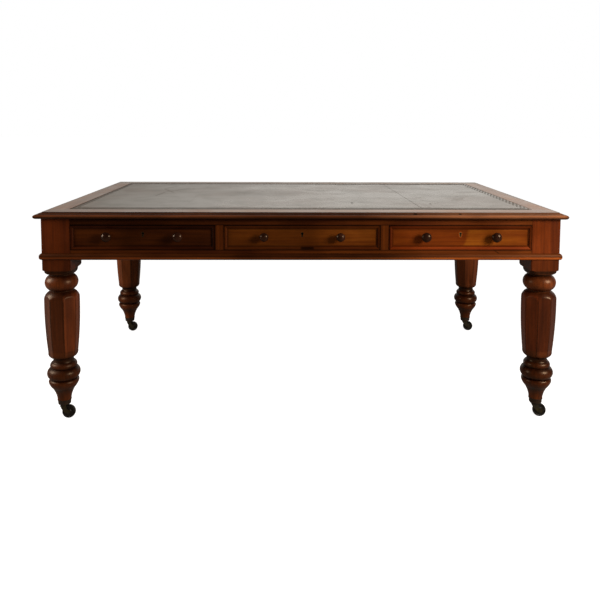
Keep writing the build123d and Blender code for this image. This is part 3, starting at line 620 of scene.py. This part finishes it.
def tarnished_brass(name, dark, bright, roughness, bare):
    """Cast brass gone brown with age and wax: dark, with duller yellow metal in patches where it is
    rubbed. bare is the share that is still metal."""
    def recipe(tree):
        spots = patches(tree, 9, 5.0, 0.0, 0.65)
        rubbed = add(tree, "MapRange", [spots, 0.42, 0.66])
        return {
            "Base Color": add(tree, "Mix", {"Factor": rubbed, "A": linear(dark), "B": linear(bright)},
                              data_type="RGBA"),
            "Metallic": add(tree, "MapRange", [rubbed, 0.0, 1.0, 0.35, bare]),
            "Roughness": add(tree, "MapRange", [spots, 0.3, 0.7, roughness + 0.12, roughness - 0.05]),
            "Normal": add(tree, "Bump", {"Strength": 0.3, "Distance": 0.3 * MM, "Height": spots}),
        }
    return finished(name, recipe)


def plain_wood(name, grain, colours, seed):
    """Planed and unpolished secondary wood, dry and matt, with the saw's long marks."""
    def recipe(tree):
        axes, _ = straight_axes(tree, grain)
        figure = stretched_noise(tree, axes, (500 * MM, 40 * MM), seed, 3.0, 0.8)
        streak = stretched_noise(tree, axes, (260 * MM, 6 * MM), seed + 5, 4.0)
        return {
            "Base Color": figured(tree, figure, streak, 0.5, 0.12, colours),
            "Roughness": 0.8,
            "IOR": 1.3,
            "Normal": add(tree, "Bump", {"Strength": 0.3, "Distance": 0.4 * MM, "Height": streak}),
        }
    return finished(name, recipe)


# Floor, world, lamps and camera

# How fast the mirrored room dims from the back to the front and what is left of it at the left, the
# soft light from the left and from the right, and how much of the floor's own whiteness the camera
# and mirrored rays see
ROOM_FALL = 3.0
ROOM_LEFT = 0.4
ROOM_FILL = (0.17, 0.22)
ROOM_TINT = "#fffaf3"
FLOOR_GLOW = 0.93
FLOOR_MIRRORED = 0.05
FLOOR_REACH = 30.0


def ray_kinds(tree):
    """The shares of camera rays, and of rays that were mirrored or let through."""
    path = add(tree, "LightPath").outputs
    mirrored = add(tree, "Math", [path["Is Glossy Ray"], path["Is Transmission Ray"]], operation="MAXIMUM")
    return path["Is Camera Ray"], mirrored


def white_room():
    """A white room. It is white to the camera and behind the object in reflections, and gives the
    object only a low soft light, stronger from the right. It is dimmer towards the front and the
    left, where the windows aren't."""
    world = bpy.data.worlds.new("studio")
    bpy.context.scene.world = world
    tree = empty_tree(world)
    split = add(tree, "SeparateXYZ", [add(tree, "TexCoord").outputs["Generated"]]).outputs
    back = add(tree, "MapRange", [split["Y"], -0.3, 0.9])
    mirror = add(tree, "Math", [back, ROOM_FALL], operation="POWER")
    left = add(tree, "MapRange", [split["X"], -0.5, 0.05, ROOM_LEFT, 1.0])
    mirror = product(tree, [mirror, left])
    across = add(tree, "MapRange", [split["X"], -0.9, 0.9, ROOM_FILL[0], ROOM_FILL[1]])
    seen, mirrored = ray_kinds(tree)
    lit = add(tree, "MapRange", [mirrored, 0.0, 1.0, across, mirror])
    strength = add(tree, "MapRange", [seen, 0.0, 1.0, lit, 1.0])
    tint = add(tree, "Mix", {"Factor": seen, "A": linear(ROOM_TINT), "B": linear("#ffffff")},
               data_type="RGBA")
    sky = add(tree, "Background", {"Color": tint, "Strength": strength})
    add(tree, "OutputWorld", {"Surface": sky})


def white_floor():
    """A pale floor, which glows white to the camera and a little in reflections, and keeps the
    object's shadow."""
    mesh = bpy.data.meshes.new("floor")
    corners = [(x * FLOOR_REACH, y * FLOOR_REACH, 0) for x, y in ((-1, -1), (1, -1), (1, 1), (-1, 1))]
    mesh.from_pydata(corners, [], [(0, 1, 2, 3)])
    floor = bpy.data.objects.new("floor", mesh)
    bpy.context.scene.collection.objects.link(floor)
    material = bpy.data.materials.new("matt_white_floor")
    tree = empty_tree(material)
    camera_rays, mirrored = ray_kinds(tree)
    seen = add(tree, "Math", [mirrored, FLOOR_MIRRORED, camera_rays], operation="MULTIPLY_ADD")
    tint = add(tree, "Mix", {"Factor": seen, "A": linear("#8a827a"), "B": linear("#b8b8b8")},
               data_type="RGBA")
    matt = add(tree, "BsdfDiffuse", {"Color": tint})
    strength = add(tree, "Math", [seen, FLOOR_GLOW], operation="MULTIPLY")
    glow = add(tree, "Emission", {"Color": linear("#ffffff"), "Strength": strength})
    add(tree, "OutputMaterial", {"Surface": add(tree, "AddShader", [matt, glow])})
    mesh.materials.append(material)


def softbox(name, place, target, size, power, tint):
    """A square area lamp at a place, turned to a target."""
    data = bpy.data.lights.new(name, "AREA")
    data.shape = "SQUARE"
    data.size = size
    data.energy = power
    data.color = linear(tint)[:3]
    lamp = bpy.data.objects.new(name, data)
    lamp.location = place
    run = np.array(target, float) - np.array(place, float)
    lamp.rotation_euler = Euler((math.acos(-run[2] / np.linalg.norm(run)), 0, math.atan2(-run[0], run[1])))
    bpy.context.scene.collection.objects.link(lamp)


def camera():
    """The photograph's camera: level a little above the top, near the middle, looking along +Y."""
    data = bpy.data.cameras.new("camera")
    data.sensor_width = 36
    data.lens = 38.4
    data.shift_y = -0.2221
    data.clip_end = 200
    eye = bpy.data.objects.new("camera", data)
    eye.location = (-44.0 * MM, -2774.2 * MM, 1106.8 * MM)
    eye.rotation_mode = "QUATERNION"
    pitch, yaw, roll = 0.0777, 0.0156, 0.0038
    turn = Euler((math.pi / 2 - pitch, 0, -yaw)).to_quaternion() @ Euler((0, 0, roll)).to_quaternion()
    eye.rotation_quaternion = turn
    bpy.context.scene.collection.objects.link(eye)
    bpy.context.scene.camera = eye


# Surfaces

def arc_through(start, via, end, step):
    """Points along the circle through three points, no further than step apart."""
    a, b, c = (np.array(p, float) for p in (start, via, end))
    d = 2 * (a[0] * (b[1] - c[1]) + b[0] * (c[1] - a[1]) + c[0] * (a[1] - b[1]))
    if abs(d) < 1e-9:
        count = max(2, int(np.linalg.norm(c - a) / step) + 2)
        return a + (c - a) * np.linspace(0, 1, count)[:, None]
    sizes = np.array([p @ p for p in (a, b, c)])
    centre = np.array([
        sizes @ np.array([b[1] - c[1], c[1] - a[1], a[1] - b[1]]),
        sizes @ np.array([c[0] - b[0], a[0] - c[0], b[0] - a[0]]),
    ]) / d
    radius = np.linalg.norm(a - centre)
    angle = [math.atan2(*(p - centre)[::-1]) for p in (a, b, c)]
    sweep = (angle[2] - angle[0]) % (2 * math.pi)
    if (angle[1] - angle[0]) % (2 * math.pi) > sweep:
        sweep -= 2 * math.pi
    count = max(3, int(abs(sweep) * radius / step) + 2)
    turns = angle[0] + np.linspace(0, sweep, count)
    return centre + radius * np.stack([np.cos(turns), np.sin(turns)], 1)


def bowed(start, end, share):
    """The point halfway along a run that swells to its right by a share of its length."""
    run = np.array(end, float) - np.array(start, float)
    return (np.array(start, float) + np.array(end, float)) / 2 + np.array([run[1], -run[0]]) * share


def outline_of(start, rows, step_of):
    """The points of an outline from its start. Each row ends a run at a point, with the share by
    which the run swells to its right, the point that it bows through, or None where it is straight.
    step_of gives the step from a row."""
    runs = []
    here = start
    for end, bow in rows:
        via = bow if isinstance(bow, tuple) else bowed(here, end, bow or 0.0)
        runs.append(arc_through(here, via, end, step_of(end, bow))[:-1])
        here = end
    return np.concatenate(runs + [np.array([here])])


def surface(name, points, faces, caps, attributes, sharp):
    """A mesh object from arrays of points and quads, with closing faces, values on its points, and
    smooth shading that breaks where two faces meet at more than the sharp angle in degrees."""
    mesh = bpy.data.meshes.new(name)
    every = [tuple(f) for f in faces.tolist()] + [tuple(int(i) for i in cap) for cap in caps]
    mesh.from_pydata(points.tolist(), [], every)
    for key, values in attributes.items():
        layer = mesh.attributes.new(key, "FLOAT", "POINT")
        layer.data.foreach_set("value", np.asarray(values, np.float32).ravel())
    mesh.shade_smooth()
    mesh.set_sharp_from_angle(angle=math.radians(sharp))
    piece = bpy.data.objects.new(name, mesh)
    bpy.context.scene.collection.objects.link(piece)
    return piece


def grid_faces(rows, columns, closed):
    """Quads between neighbouring points of a grid, joined round the columns if it is closed."""
    across = columns if closed else columns - 1
    row, column = np.meshgrid(np.arange(rows - 1), np.arange(across), indexing="ij")
    here = row * columns
    after = (column + 1) % columns
    corners = [here + column, here + after, here + columns + after, here + columns + column]
    return np.stack(corners, -1).reshape(-1, 4)


# Mouldings

# The border's outline, in millimetres in from its outer edge and over the floor: up its inner edge,
# over the flat, down a small step, the round lip, the quirk and the full nose, and the underside
BORDER_START = (96.0, 749.0)
BORDER_OUTLINE = [
    ((96.0, 770.0), None),
    ((24.5, 770.0), None),
    ((24.3, 767.4), None),
    ((20.5, 766.8), None),
    ((15.0, 763.6), 0.2),
    ((14.6, 762.4), None),
    ((0.0, 756.6), 0.2),
    ((9.0, 747.6), 0.2),
    ((19.5, 747.6), None),
    ((20.0, 749.0), None),
]
# The bead's outline, in millimetres in from its own face, which projects from the frame's: a full
# round
BEAD_PROJECTION = 8.5
BEAD_START = (8.8, 623.0)
BEAD_OUTLINE = [
    ((7.3, 622.8), None),
    ((0.0, 611.0), 0.17),
    ((7.3, 599.6), 0.2),
    ((8.8, 599.2), None),
]


def swept_frame(name, half_x, half_y, outline, corner):
    """A moulding round a rectangle, closed on itself both ways. The outline's points are a way in
    from the rectangle and a height in millimetres. Each goes round as a loop whose corners are
    quarter circles, of the corner's radius at the rectangle and next to none at the innermost point.
    The attribute run is the length along the outline."""
    inward, level = outline[:, 0], outline[:, 1]
    radius = corner * (1 - inward / inward.max()) + 0.02
    turns = np.radians(np.linspace(0, 90, 6))
    points = []
    for quarter, sign in enumerate(np.array([(1, 1), (-1, 1), (-1, -1), (1, -1)])):
        for turn in turns if quarter % 2 == 0 else turns[::-1]:
            away = np.stack([half_x - inward - radius + radius * math.cos(turn),
                             half_y - inward - radius + radius * math.sin(turn)], 1) * sign
            points.append(np.column_stack([away, level]))
    grid = np.stack(points, 1)
    rows, columns = grid.shape[:2]
    row, column = np.meshgrid(np.arange(rows), np.arange(columns), indexing="ij")
    here, below, after = row * columns, (row + 1) % rows * columns, (column + 1) % columns
    faces = np.stack([here + column, below + column, below + after, here + after], -1)
    steps = np.linalg.norm(np.diff(outline, axis=0), axis=1)
    run = np.repeat(np.concatenate([[0], np.cumsum(steps)])[:, None], columns, 1)
    return surface(name, (grid * MM).reshape(-1, 3), faces.reshape(-1, 4), (), {"run": run}, 30.0)


# Legs

# The ends of the baluster's eight flats and their swell, the zone in which they are cut, and a
# flat's distance from the leg's axis as a share of the turned radius
FACET_FOOT = (53.3, 254.6)
FACET_HEAD = (62.6, 443.0)
FACET_BOW = 0.0145
FACET_ZONE = (232.1, 478.0)
FACET_SHARE = 0.915
# The leg's turned outline from the foot up, in millimetres: each row ends a run at a radius and a
# height, with the share by which the run swells outwards, or the point that it bows through
LEG_START = (0.1, 58.6)
LEG_OUTLINE = [
    ((19.5, 58.6), None),
    ((19.5, 72.6), None),
    ((24.0, 72.6), None),
    ((40.0, 117.82), -0.062),
    ((52.5, 139.1), 0.055),
    ((47.5, 152.1), 0.18),
    ((44.5, 152.1), None),
    ((44.5, 194.1), (58.0, 173.1)),
    ((38.5, 215.1), (47.0, 203.55)),
    ((38.5, 232.1), (35.7, 223.6)),
    (FACET_FOOT, 0.19),
    (FACET_HEAD, FACET_BOW),
    ((40.5, 478.0), 0.15),
    ((40.5, 481.5), None),
    ((39.5, 537.0), (57.7, 509.5)),
    ((39.5, 542.5), None),
    ((44.0, 543.5), None),
    ((60.8, 552.5), 0.2),
    ((60.8, 557.5), None),
    ((71.42, 566.5), 0.2),
    ((73.0, 568.0), None),
    ((73.0, 602.0), None),
    ((73.0, 749.0), None),
]
# The square's half widths and heights, in millimetres: the post, the pommel and the block under it
POST_HALF = 50.5
POST_DEPTH = 122.0
POMMEL_FLAT = 50.0
POMMEL_FOOT = 540.0
BLOCK_FOOT = 557.5
FRAME_FOOT = 602.0
# What is worn off the baluster's arrises, and off the corners of the block and of the post
ARRIS_WEAR = 0.7
CORNER_WEAR = 1.1
POST_WEAR = 0.4
# The turns at which the leg is drawn, in degrees: all round, close together near the square's
# corners, and on both sides of the baluster's arrises
TURN_STEP = 6.0
CORNER_TURNS = np.arange(-21, 21.1, 1.5)
ARRIS_TURNS = np.array([-1.3, -0.5, 0.5, 1.3])


def leg_step(end, bow):
    """How far apart a leg's points are along a run: far on the post and the long baluster, and near
    on the small mouldings."""
    if bow is None:
        return 12.0 if end[1] > BLOCK_FOOT + 4 else 2.0
    if isinstance(bow, tuple):
        return 1.6
    if end == FACET_HEAD:
        return 4.0
    return 0.7 if end[1] > POMMEL_FOOT else 1.1


def soft_least(a, b, blend):
    """The lesser of two values with the corner between them rounded over the blend."""
    return (a + b - np.sqrt((a - b) ** 2 + blend ** 2)) / 2


def leg_surface(name, x, y):
    """One leg and its post. The radius at a height and a turn is the least of three: the turned
    outline's, in the baluster's zone an eight-sided body's (its face distance over the cosine of
    the turn from the nearest face's middle), and from the pommel up a square's. Circles a little
    inside the corners stand for worn arrises. The post is deeper than it is wide: above the block's
    foot, points on the side towards the desk's middle move in by the depth that is over the width.
    The darkening attribute, for dirt and painted shade, is 1 in the hollows between rings and a
    half along the block's foot, and arris is 1 on the baluster's arrises."""
    outline = outline_of(LEG_START, LEG_OUTLINE, leg_step)
    turned, level = outline[:, 0], outline[:, 1]

    base = np.arange(0, 360, TURN_STEP)
    corner = (np.arange(45, 360, 90)[:, None] + CORNER_TURNS[None, :]).ravel()
    arrises = (np.arange(22.5, 360, 45)[:, None] + ARRIS_TURNS[None, :]).ravel()
    turns = np.radians(np.unique(np.round(np.concatenate([base, corner, arrises]), 2)))

    radius = np.repeat(turned[:, None], len(turns), 1)
    height = np.repeat(level[:, None], len(turns), 1)

    bow = arc_through(FACET_FOOT, bowed(FACET_FOOT, FACET_HEAD, FACET_BOW), FACET_HEAD, 2.0)
    reach = np.interp(level, bow[:, 1], bow[:, 0]) * FACET_SHARE
    fold = np.abs((np.degrees(turns) + 22.5) % 45 - 22.5)
    flat = reach[:, None] / np.cos(np.radians(fold))[None, :]
    flat = np.minimum(flat, (reach / math.cos(math.radians(22.5)) - ARRIS_WEAR)[:, None])
    faceted = ((level > FACET_ZONE[0]) & (level < FACET_ZONE[1]))[:, None]
    worn = soft_least(radius, flat, 0.9)
    # An arris is where a turn is within 2.1 degrees of the flats' meeting and the flats cut in
    arris = np.clip((fold - 20.4) / 1.6, 0, 1)[None, :] * np.clip((radius - flat) / 1.5, 0, 1)
    radius = np.where(faceted, worn, radius)
    arris = np.where(faceted, arris, 0.0)

    on_block = (level > BLOCK_FOOT)[:, None]
    half = np.where(on_block, POST_HALF, POMMEL_FLAT)
    side = half / np.maximum(np.abs(np.cos(turns)), np.abs(np.sin(turns)))[None, :]
    wear = np.where(level > FRAME_FOOT, POST_WEAR, CORNER_WEAR)[:, None]
    side = np.minimum(side, half * math.sqrt(2) - wear)
    blend = np.where(on_block, 0.8, 3.0)
    squared = (level >= POMMEL_FOOT)[:, None]
    radius = np.where(squared, np.minimum(soft_least(radius, side, blend), side), radius)

    # A hollow is as deep as the widest ring within 11 mm stands out over it, and is darkened for dirt
    # and painted shade
    wide = np.array([turned[np.abs(level - z) < 11].max() for z in level])
    groove = np.clip((wide - turned) / 9.0, 0, 1) * (level < BLOCK_FOOT)
    # Painted shade along the block's foot, where the pommel steps in under it
    groove = np.maximum(groove, 0.5 * np.clip(1 - np.abs(level - BLOCK_FOOT) / 3.0, 0, 1))
    grime = np.repeat(groove[:, None], len(turns), 1)

    across, deep = radius * np.cos(turns), radius * np.sin(turns)
    inward = -1.0 if y > 0 else 1.0
    share = np.clip(deep * inward / POST_HALF, 0, 1) ** 0.25
    deep = deep + inward * (POST_DEPTH - 2 * POST_HALF) * (height >= BLOCK_FOOT) * share
    points = np.stack([x + across * MM, y + deep * MM, height * MM], -1).reshape(-1, 3)
    rows, columns = radius.shape
    caps = [np.arange(columns)[::-1], (rows - 1) * columns + np.arange(columns)]
    dirt_wear_and_shade = {"grime": grime, "arris": arris}
    return surface(name, points, grid_faces(rows, columns, True), caps, dirt_wear_and_shade, 32.0)


# Skins of leather

SKIN_PITCH = 9 * MM
SKIN_MARGIN = 8 * MM
# How far in an open edge rolls down and by how much, and how far in the slow waves start
ROLL_WIDTH = 3 * MM
ROLL_DROP = 0.7 * MM
CALM_WIDTH = 20 * MM
WAVE_HEIGHT = 0.16 * MM
# The gaps between the skins and round them, as drawn
SEAM_GAP = 0.12 * MM
CLOSED_SEAM = 0.02 * MM
EDGE_GAP = 0.3 * MM


def grid_lines(low, high):
    """Places from low to high, closer together near both ends."""
    inner = np.linspace(low + SKIN_MARGIN, high - SKIN_MARGIN, int((high - low) / SKIN_PITCH))
    edge = np.array([0, 0.5, 1.2, 2.0, 3.0, 5.0]) * MM
    return np.concatenate([low + edge, inner, high - edge[::-1]])


def leather_skin(name, x_low, x_high, open_low, open_high):
    """One skin on a grid of X and Y that is finer near its edges. Its height is the leather's level
    and a slow sum of sines, less a roll-down near each open edge that falls with the square of the
    way in. X is drawn over by a share of the right seam's own slant, which falls to none at the
    middle and the edge."""
    y_edge = HALF_DEPTH - BORDER_WIDTH - EDGE_GAP
    xs = grid_lines(x_low, x_high)
    ys = grid_lines(-y_edge, y_edge)
    x, y = np.meshgrid(xs, ys, indexing="xy")
    draw = np.random.default_rng(21)
    wave = np.zeros_like(x)
    for _ in range(14):
        length = draw.uniform(0.07, 0.4)
        heading = draw.uniform(0, math.pi)
        phase = draw.uniform(0, 2 * math.pi)
        run = x * math.cos(heading) + y * math.sin(heading)
        wave += length * np.sin(run * 2 * math.pi / length + phase)
    wave *= WAVE_HEIGHT
    ends = np.minimum(x - x_low if open_low else 1.0, x_high - x if open_high else 1.0)
    way_in = np.minimum(ends, np.minimum(y + y_edge, y_edge - y))
    fall = np.clip(1 - way_in / ROLL_WIDTH, 0, 1) ** 2 * ROLL_DROP
    z = LEATHER_LEVEL + np.clip(wave, -0.3 * MM, 0.35 * MM) * np.clip(way_in / CALM_WIDTH, 0, 1) - fall
    edge = HALF_WIDTH - BORDER_WIDTH
    share = np.where(x < SEAM_X, np.clip(x / SEAM_X, 0, 1), (edge - x) / (edge - SEAM_X))
    points = np.stack([x + share * (SEAM_SHIFT - SEAM_SLANT * y), y, z], -1).reshape(-1, 3)
    piece = surface(name, points, grid_faces(len(ys), len(xs), False), (), {}, 60.0)
    skin = piece.modifiers.new("thickness", "SOLIDIFY")
    skin.thickness = LEATHER_THICKNESS - 0.3 * MM
    skin.offset = -1.0
    return piece


# Making the desk

def cover(node, material):
    """Gives a CAD node one material on all its faces."""
    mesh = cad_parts[node].data
    mesh.materials.clear()
    mesh.materials.append(material)


def dress_frame():
    """Gives the rails and the dividers their wood, board by board."""
    seed = 3.0
    for side in ("front", "rear"):
        boards = {
            # The top rail: painted shade of the drawers' gaps along its lower edge, dirt where it meets the
            # posts, a tone along X that is partly its own and partly painted shade to the left and painted
            # light to the right, and painted shade under the top
            "top": (0.62, [
                (line_marks, [("Z", OPENING_TOP, 3.0, 0.3), POST_LINE]), (drift, "X", -800, 0, 0.44, 0.85),
                (drift, "X", 0, 500, 1.0, 2.25), (run_mark, "Z", RAIL_TONES)]),
            # The bottom rail: painted shade of the drawers' gaps along its upper edge, and dirt where it
            # meets the posts
            "bottom": (0.74, [
                (line_marks, [("Z", OPENING_FOOT, 3.0, 0.3), POST_LINE]), (drift, "X", 0, 700, 1.0, 1.5)]),
        }
        if side == "front":
            boards["bottom"][1].append((crack_mark, "XZ", REPAIR, 2.2, 0.2))
        for board, (tone, marks) in boards.items():
            cover(f"{side}_{board}_rail", mahogany(
                f"polished_mahogany_{side}_{board}_rail", (straight_axes, "x"), BROWN, tone, seed, ior=1.2,
                marks=marks))
            seed += 1
    for node, tone in (("left_end_rail", 0.9), ("right_end_rail", 1.1)):
        cover(node, mahogany(f"polished_mahogany_{node}", (straight_axes, "y"), BROWN, tone, seed,
                             marks=[(line_marks, [END_POST_LINE])]))
        seed += 1
    # Painted shade of the gaps round the drawers, along the dividers' edges and the openings' heights
    edges = [("X", 277.5, 3.0, 0.3), ("X", 308.5, 3.0, 0.3),
             ("Z", OPENING_FOOT, 2.0, 0.6), ("Z", OPENING_TOP, 2.0, 0.6)]
    cover("drawer_dividers", mahogany(
        "polished_mahogany_drawer_dividers", (straight_axes, "z"), BROWN, 0.98, seed, ior=1.2,
        marks=[(drift, "X", -300, 300, 0.68, 1.02), (line_marks, edges)]))


def dress_drawers():
    """Gives the six drawers' fronts their wood, with the painted light and shade of their mouldings' strips.
    """
    # Each drawer's colours, its tone, and its strips' painted light and shade: left end, right end, lower
    # and upper
    looks = {
        "left": (BROWN, 0.6, (0.8, 0.45, 0.85, 0.55)),
        "middle": (GOLDEN, 0.54, (0.7, 0.42, 0.6, 0.45)),
        "right": (GOLDEN, 0.8, (0.7, 0.45, 1.2, 0.55)),
    }
    seed = 41.0
    for side in ("front", "rear"):
        for place, (middle, half) in DRAWER_PLACES.items():
            colours, tone, strips = looks[place]
            marks = [(drawer_mark, middle, half, strips)]
            if side == "front":
                marks += FRONT_DRAWER_MARKS[place]
            field = (half - MOULDING_WIDTH, DRAWER_HALF_HEIGHT - MOULDING_WIDTH)
            cover(f"{side}_{place}_drawer_face", mahogany(
                f"polished_mahogany_{side}_{place}_drawer",
                (mitred_axes, "X", "Z", (middle, DRAWER_MIDDLE_Z), field),
                colours, tone, seed, ior=1.2, marks=marks))
            seed += 2


def make_mouldings():
    """The border round the top, and the bead round the foot of the frame."""
    inner = (HALF_WIDTH - BORDER_WIDTH, HALF_DEPTH - BORDER_WIDTH)
    nicks = [((399.8, -536.0, 765.0), 9.0, 0.15), ((558.8, -536.0, 765.0), 7.0, 0.2)]
    flat_wood = mahogany(
        "faded_mahogany_border", (mitred_axes, "X", "Y", (0.0, 0.0), inner), FADED, 1.0, 31.0,
        (0.26, 0.36), 1.48, [
            # Painted light makes the border lighter towards the right, and a painted reflection greys the
            # back strip
            (edge_mark,), (drift, "X", -850, 850, 0.8, 1.38), (zone_mark, BACK_SHEEN_TINT, ("Y", 452, 460)),
            (spot_marks, nicks)], edge_gloss)
    bead_wood = mahogany(
        "polished_mahogany_bead", (mitred_axes, "X", "Y", (0.0, 0.0), (FRAME_X, FRAME_Y)), BROWN, 0.85, 37.0,
        (0.4, 0.5), 1.24, [(run_mark, "Z", BEAD_TONES), (run_mark, "X", BEAD_RUN)])
    border = outline_of(BORDER_START, BORDER_OUTLINE, lambda end, bow: 1.2 if bow else 60.0)
    bead = outline_of(BEAD_START, BEAD_OUTLINE, lambda end, bow: 0.9 if bow else 60.0)
    for node, outline, half_x, half_y, out, corner, wood in (
            ("top_border", border, HALF_WIDTH, HALF_DEPTH, 0.0, 4.0, flat_wood),
            ("bottom_bead", bead, FRAME_X, FRAME_Y, BEAD_PROJECTION, 5.0, bead_wood)):
        piece = swept_frame(f"swept_{node}", half_x / MM + out, half_y / MM + out, outline, corner)
        piece.data.materials.append(wood)
        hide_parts(node)
        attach(piece, "root")


def make_legs():
    """Four turned legs, each of its own tone."""
    for number, (corner, (tone, post, roughness, flats, tint)) in enumerate(LEG_LOOKS.items()):
        x = LEG_X if "right" in corner else -LEG_X
        y = LEG_Y if "rear" in corner else -LEG_Y
        leg = leg_surface(f"{corner}_turned_leg", x, y)
        leg.data.materials.append(mahogany(
            f"polished_mahogany_{corner}_leg", (straight_axes, "z"), LEG, tone, 61.0 + 4 * number,
            roughness, 1.34, [
                # Dirt and painted shade in the hollows, dark arrises, tones by height, the polish on block
                # and post, and the flats' painted light and shade
                (attribute_mark, "grime", 0.3), (attribute_mark, "arris", 0.25),
                (run_mark, "Z", LEG_TONES), (post_mark, post), (flat_light_and_shade, x, flats, tint)]))
        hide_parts(f"{corner}_leg")
        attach(leg, "root")


def make_leather():
    """Three skins side by side."""
    leather = finished("waxed_goat_skiver", desk_leather)
    edge = HALF_WIDTH - BORDER_WIDTH - EDGE_GAP
    skins = {
        "left": (-edge, -SEAM_X - CLOSED_SEAM, True, False),
        "centre": (-SEAM_X + CLOSED_SEAM, SEAM_X - SEAM_GAP, False, True),
        "right": (SEAM_X + SEAM_GAP, edge, True, True),
    }
    for name, (low, high, open_low, open_high) in skins.items():
        skin = leather_skin(f"{name}_skin", low, high, open_low, open_high)
        skin.data.materials.append(leather)
        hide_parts(f"leather_{name}")
        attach(skin, "root")


def dress_small_parts():
    """Gives the casters, the locks, the knobs and the hidden boards their materials."""
    horn = tarnished_brass("tarnished_cast_brass", "#221c12", "#4a4227", 0.45, 0.85)
    wheel = tarnished_brass("blackened_brass_wheel", "#120f0c", "#2a231a", 0.45, 0.6)
    cup = tarnished_brass("browned_brass_cup", "#2a1a10", "#40301c", 0.5, 0.7)
    rubbed = tarnished_brass("rubbed_brass_lining", "#6b5730", "#a8935c", 0.35, 0.9)
    knob = mahogany("turned_dark_knob", (straight_axes, "y"), ("#1a0c07", "#341a10"), 1.0, 91.0,
                    (0.18, 0.3), 1.32)
    pine = ("#5f4126", "#85653a")
    bare = plain_wood("planed_pine_x", "x", pine, 5.0)
    bare_y = plain_wood("planed_pine_y", "y", pine, 9.0)
    box = plain_wood("planed_cedar_drawer", "y", ("#6b4526", "#8f6a42"), 13.0)
    materials = {
        "_fork": horn, "caster_cups": cup, "_wheel": wheel, "_drawer_lock": horn, "_lock_bolt": horn,
        "_knobs": knob, "_drawer_box": box, "drawer_runners": bare_y, "drawer_kickers": bare_y,
        "top_panel": bare, "centre_rail": bare, "drawer_stops": bare,
    }
    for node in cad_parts:
        for ending, material in materials.items():
            if node.endswith(ending):
                cover(node, rubbed if node.startswith("front_right") and "_lock" in node else material)


white_room()
white_floor()
camera()
softbox("right_window", (2.35, -1.95, 1.55), (0.1, -0.45, 0.5), 0.8, 76, "#fff4e8")
softbox("left_window", (-2.6, -0.65, 1.3), (-0.8, -0.4, 0.5), 1.0, 44, "#fff4e8")
dress_frame()
make_mouldings()
dress_drawers()
make_legs()
make_leather()
dress_small_parts()
bpy.context.scene.view_settings.view_transform = "Standard"
bpy.context.view_layer.update()
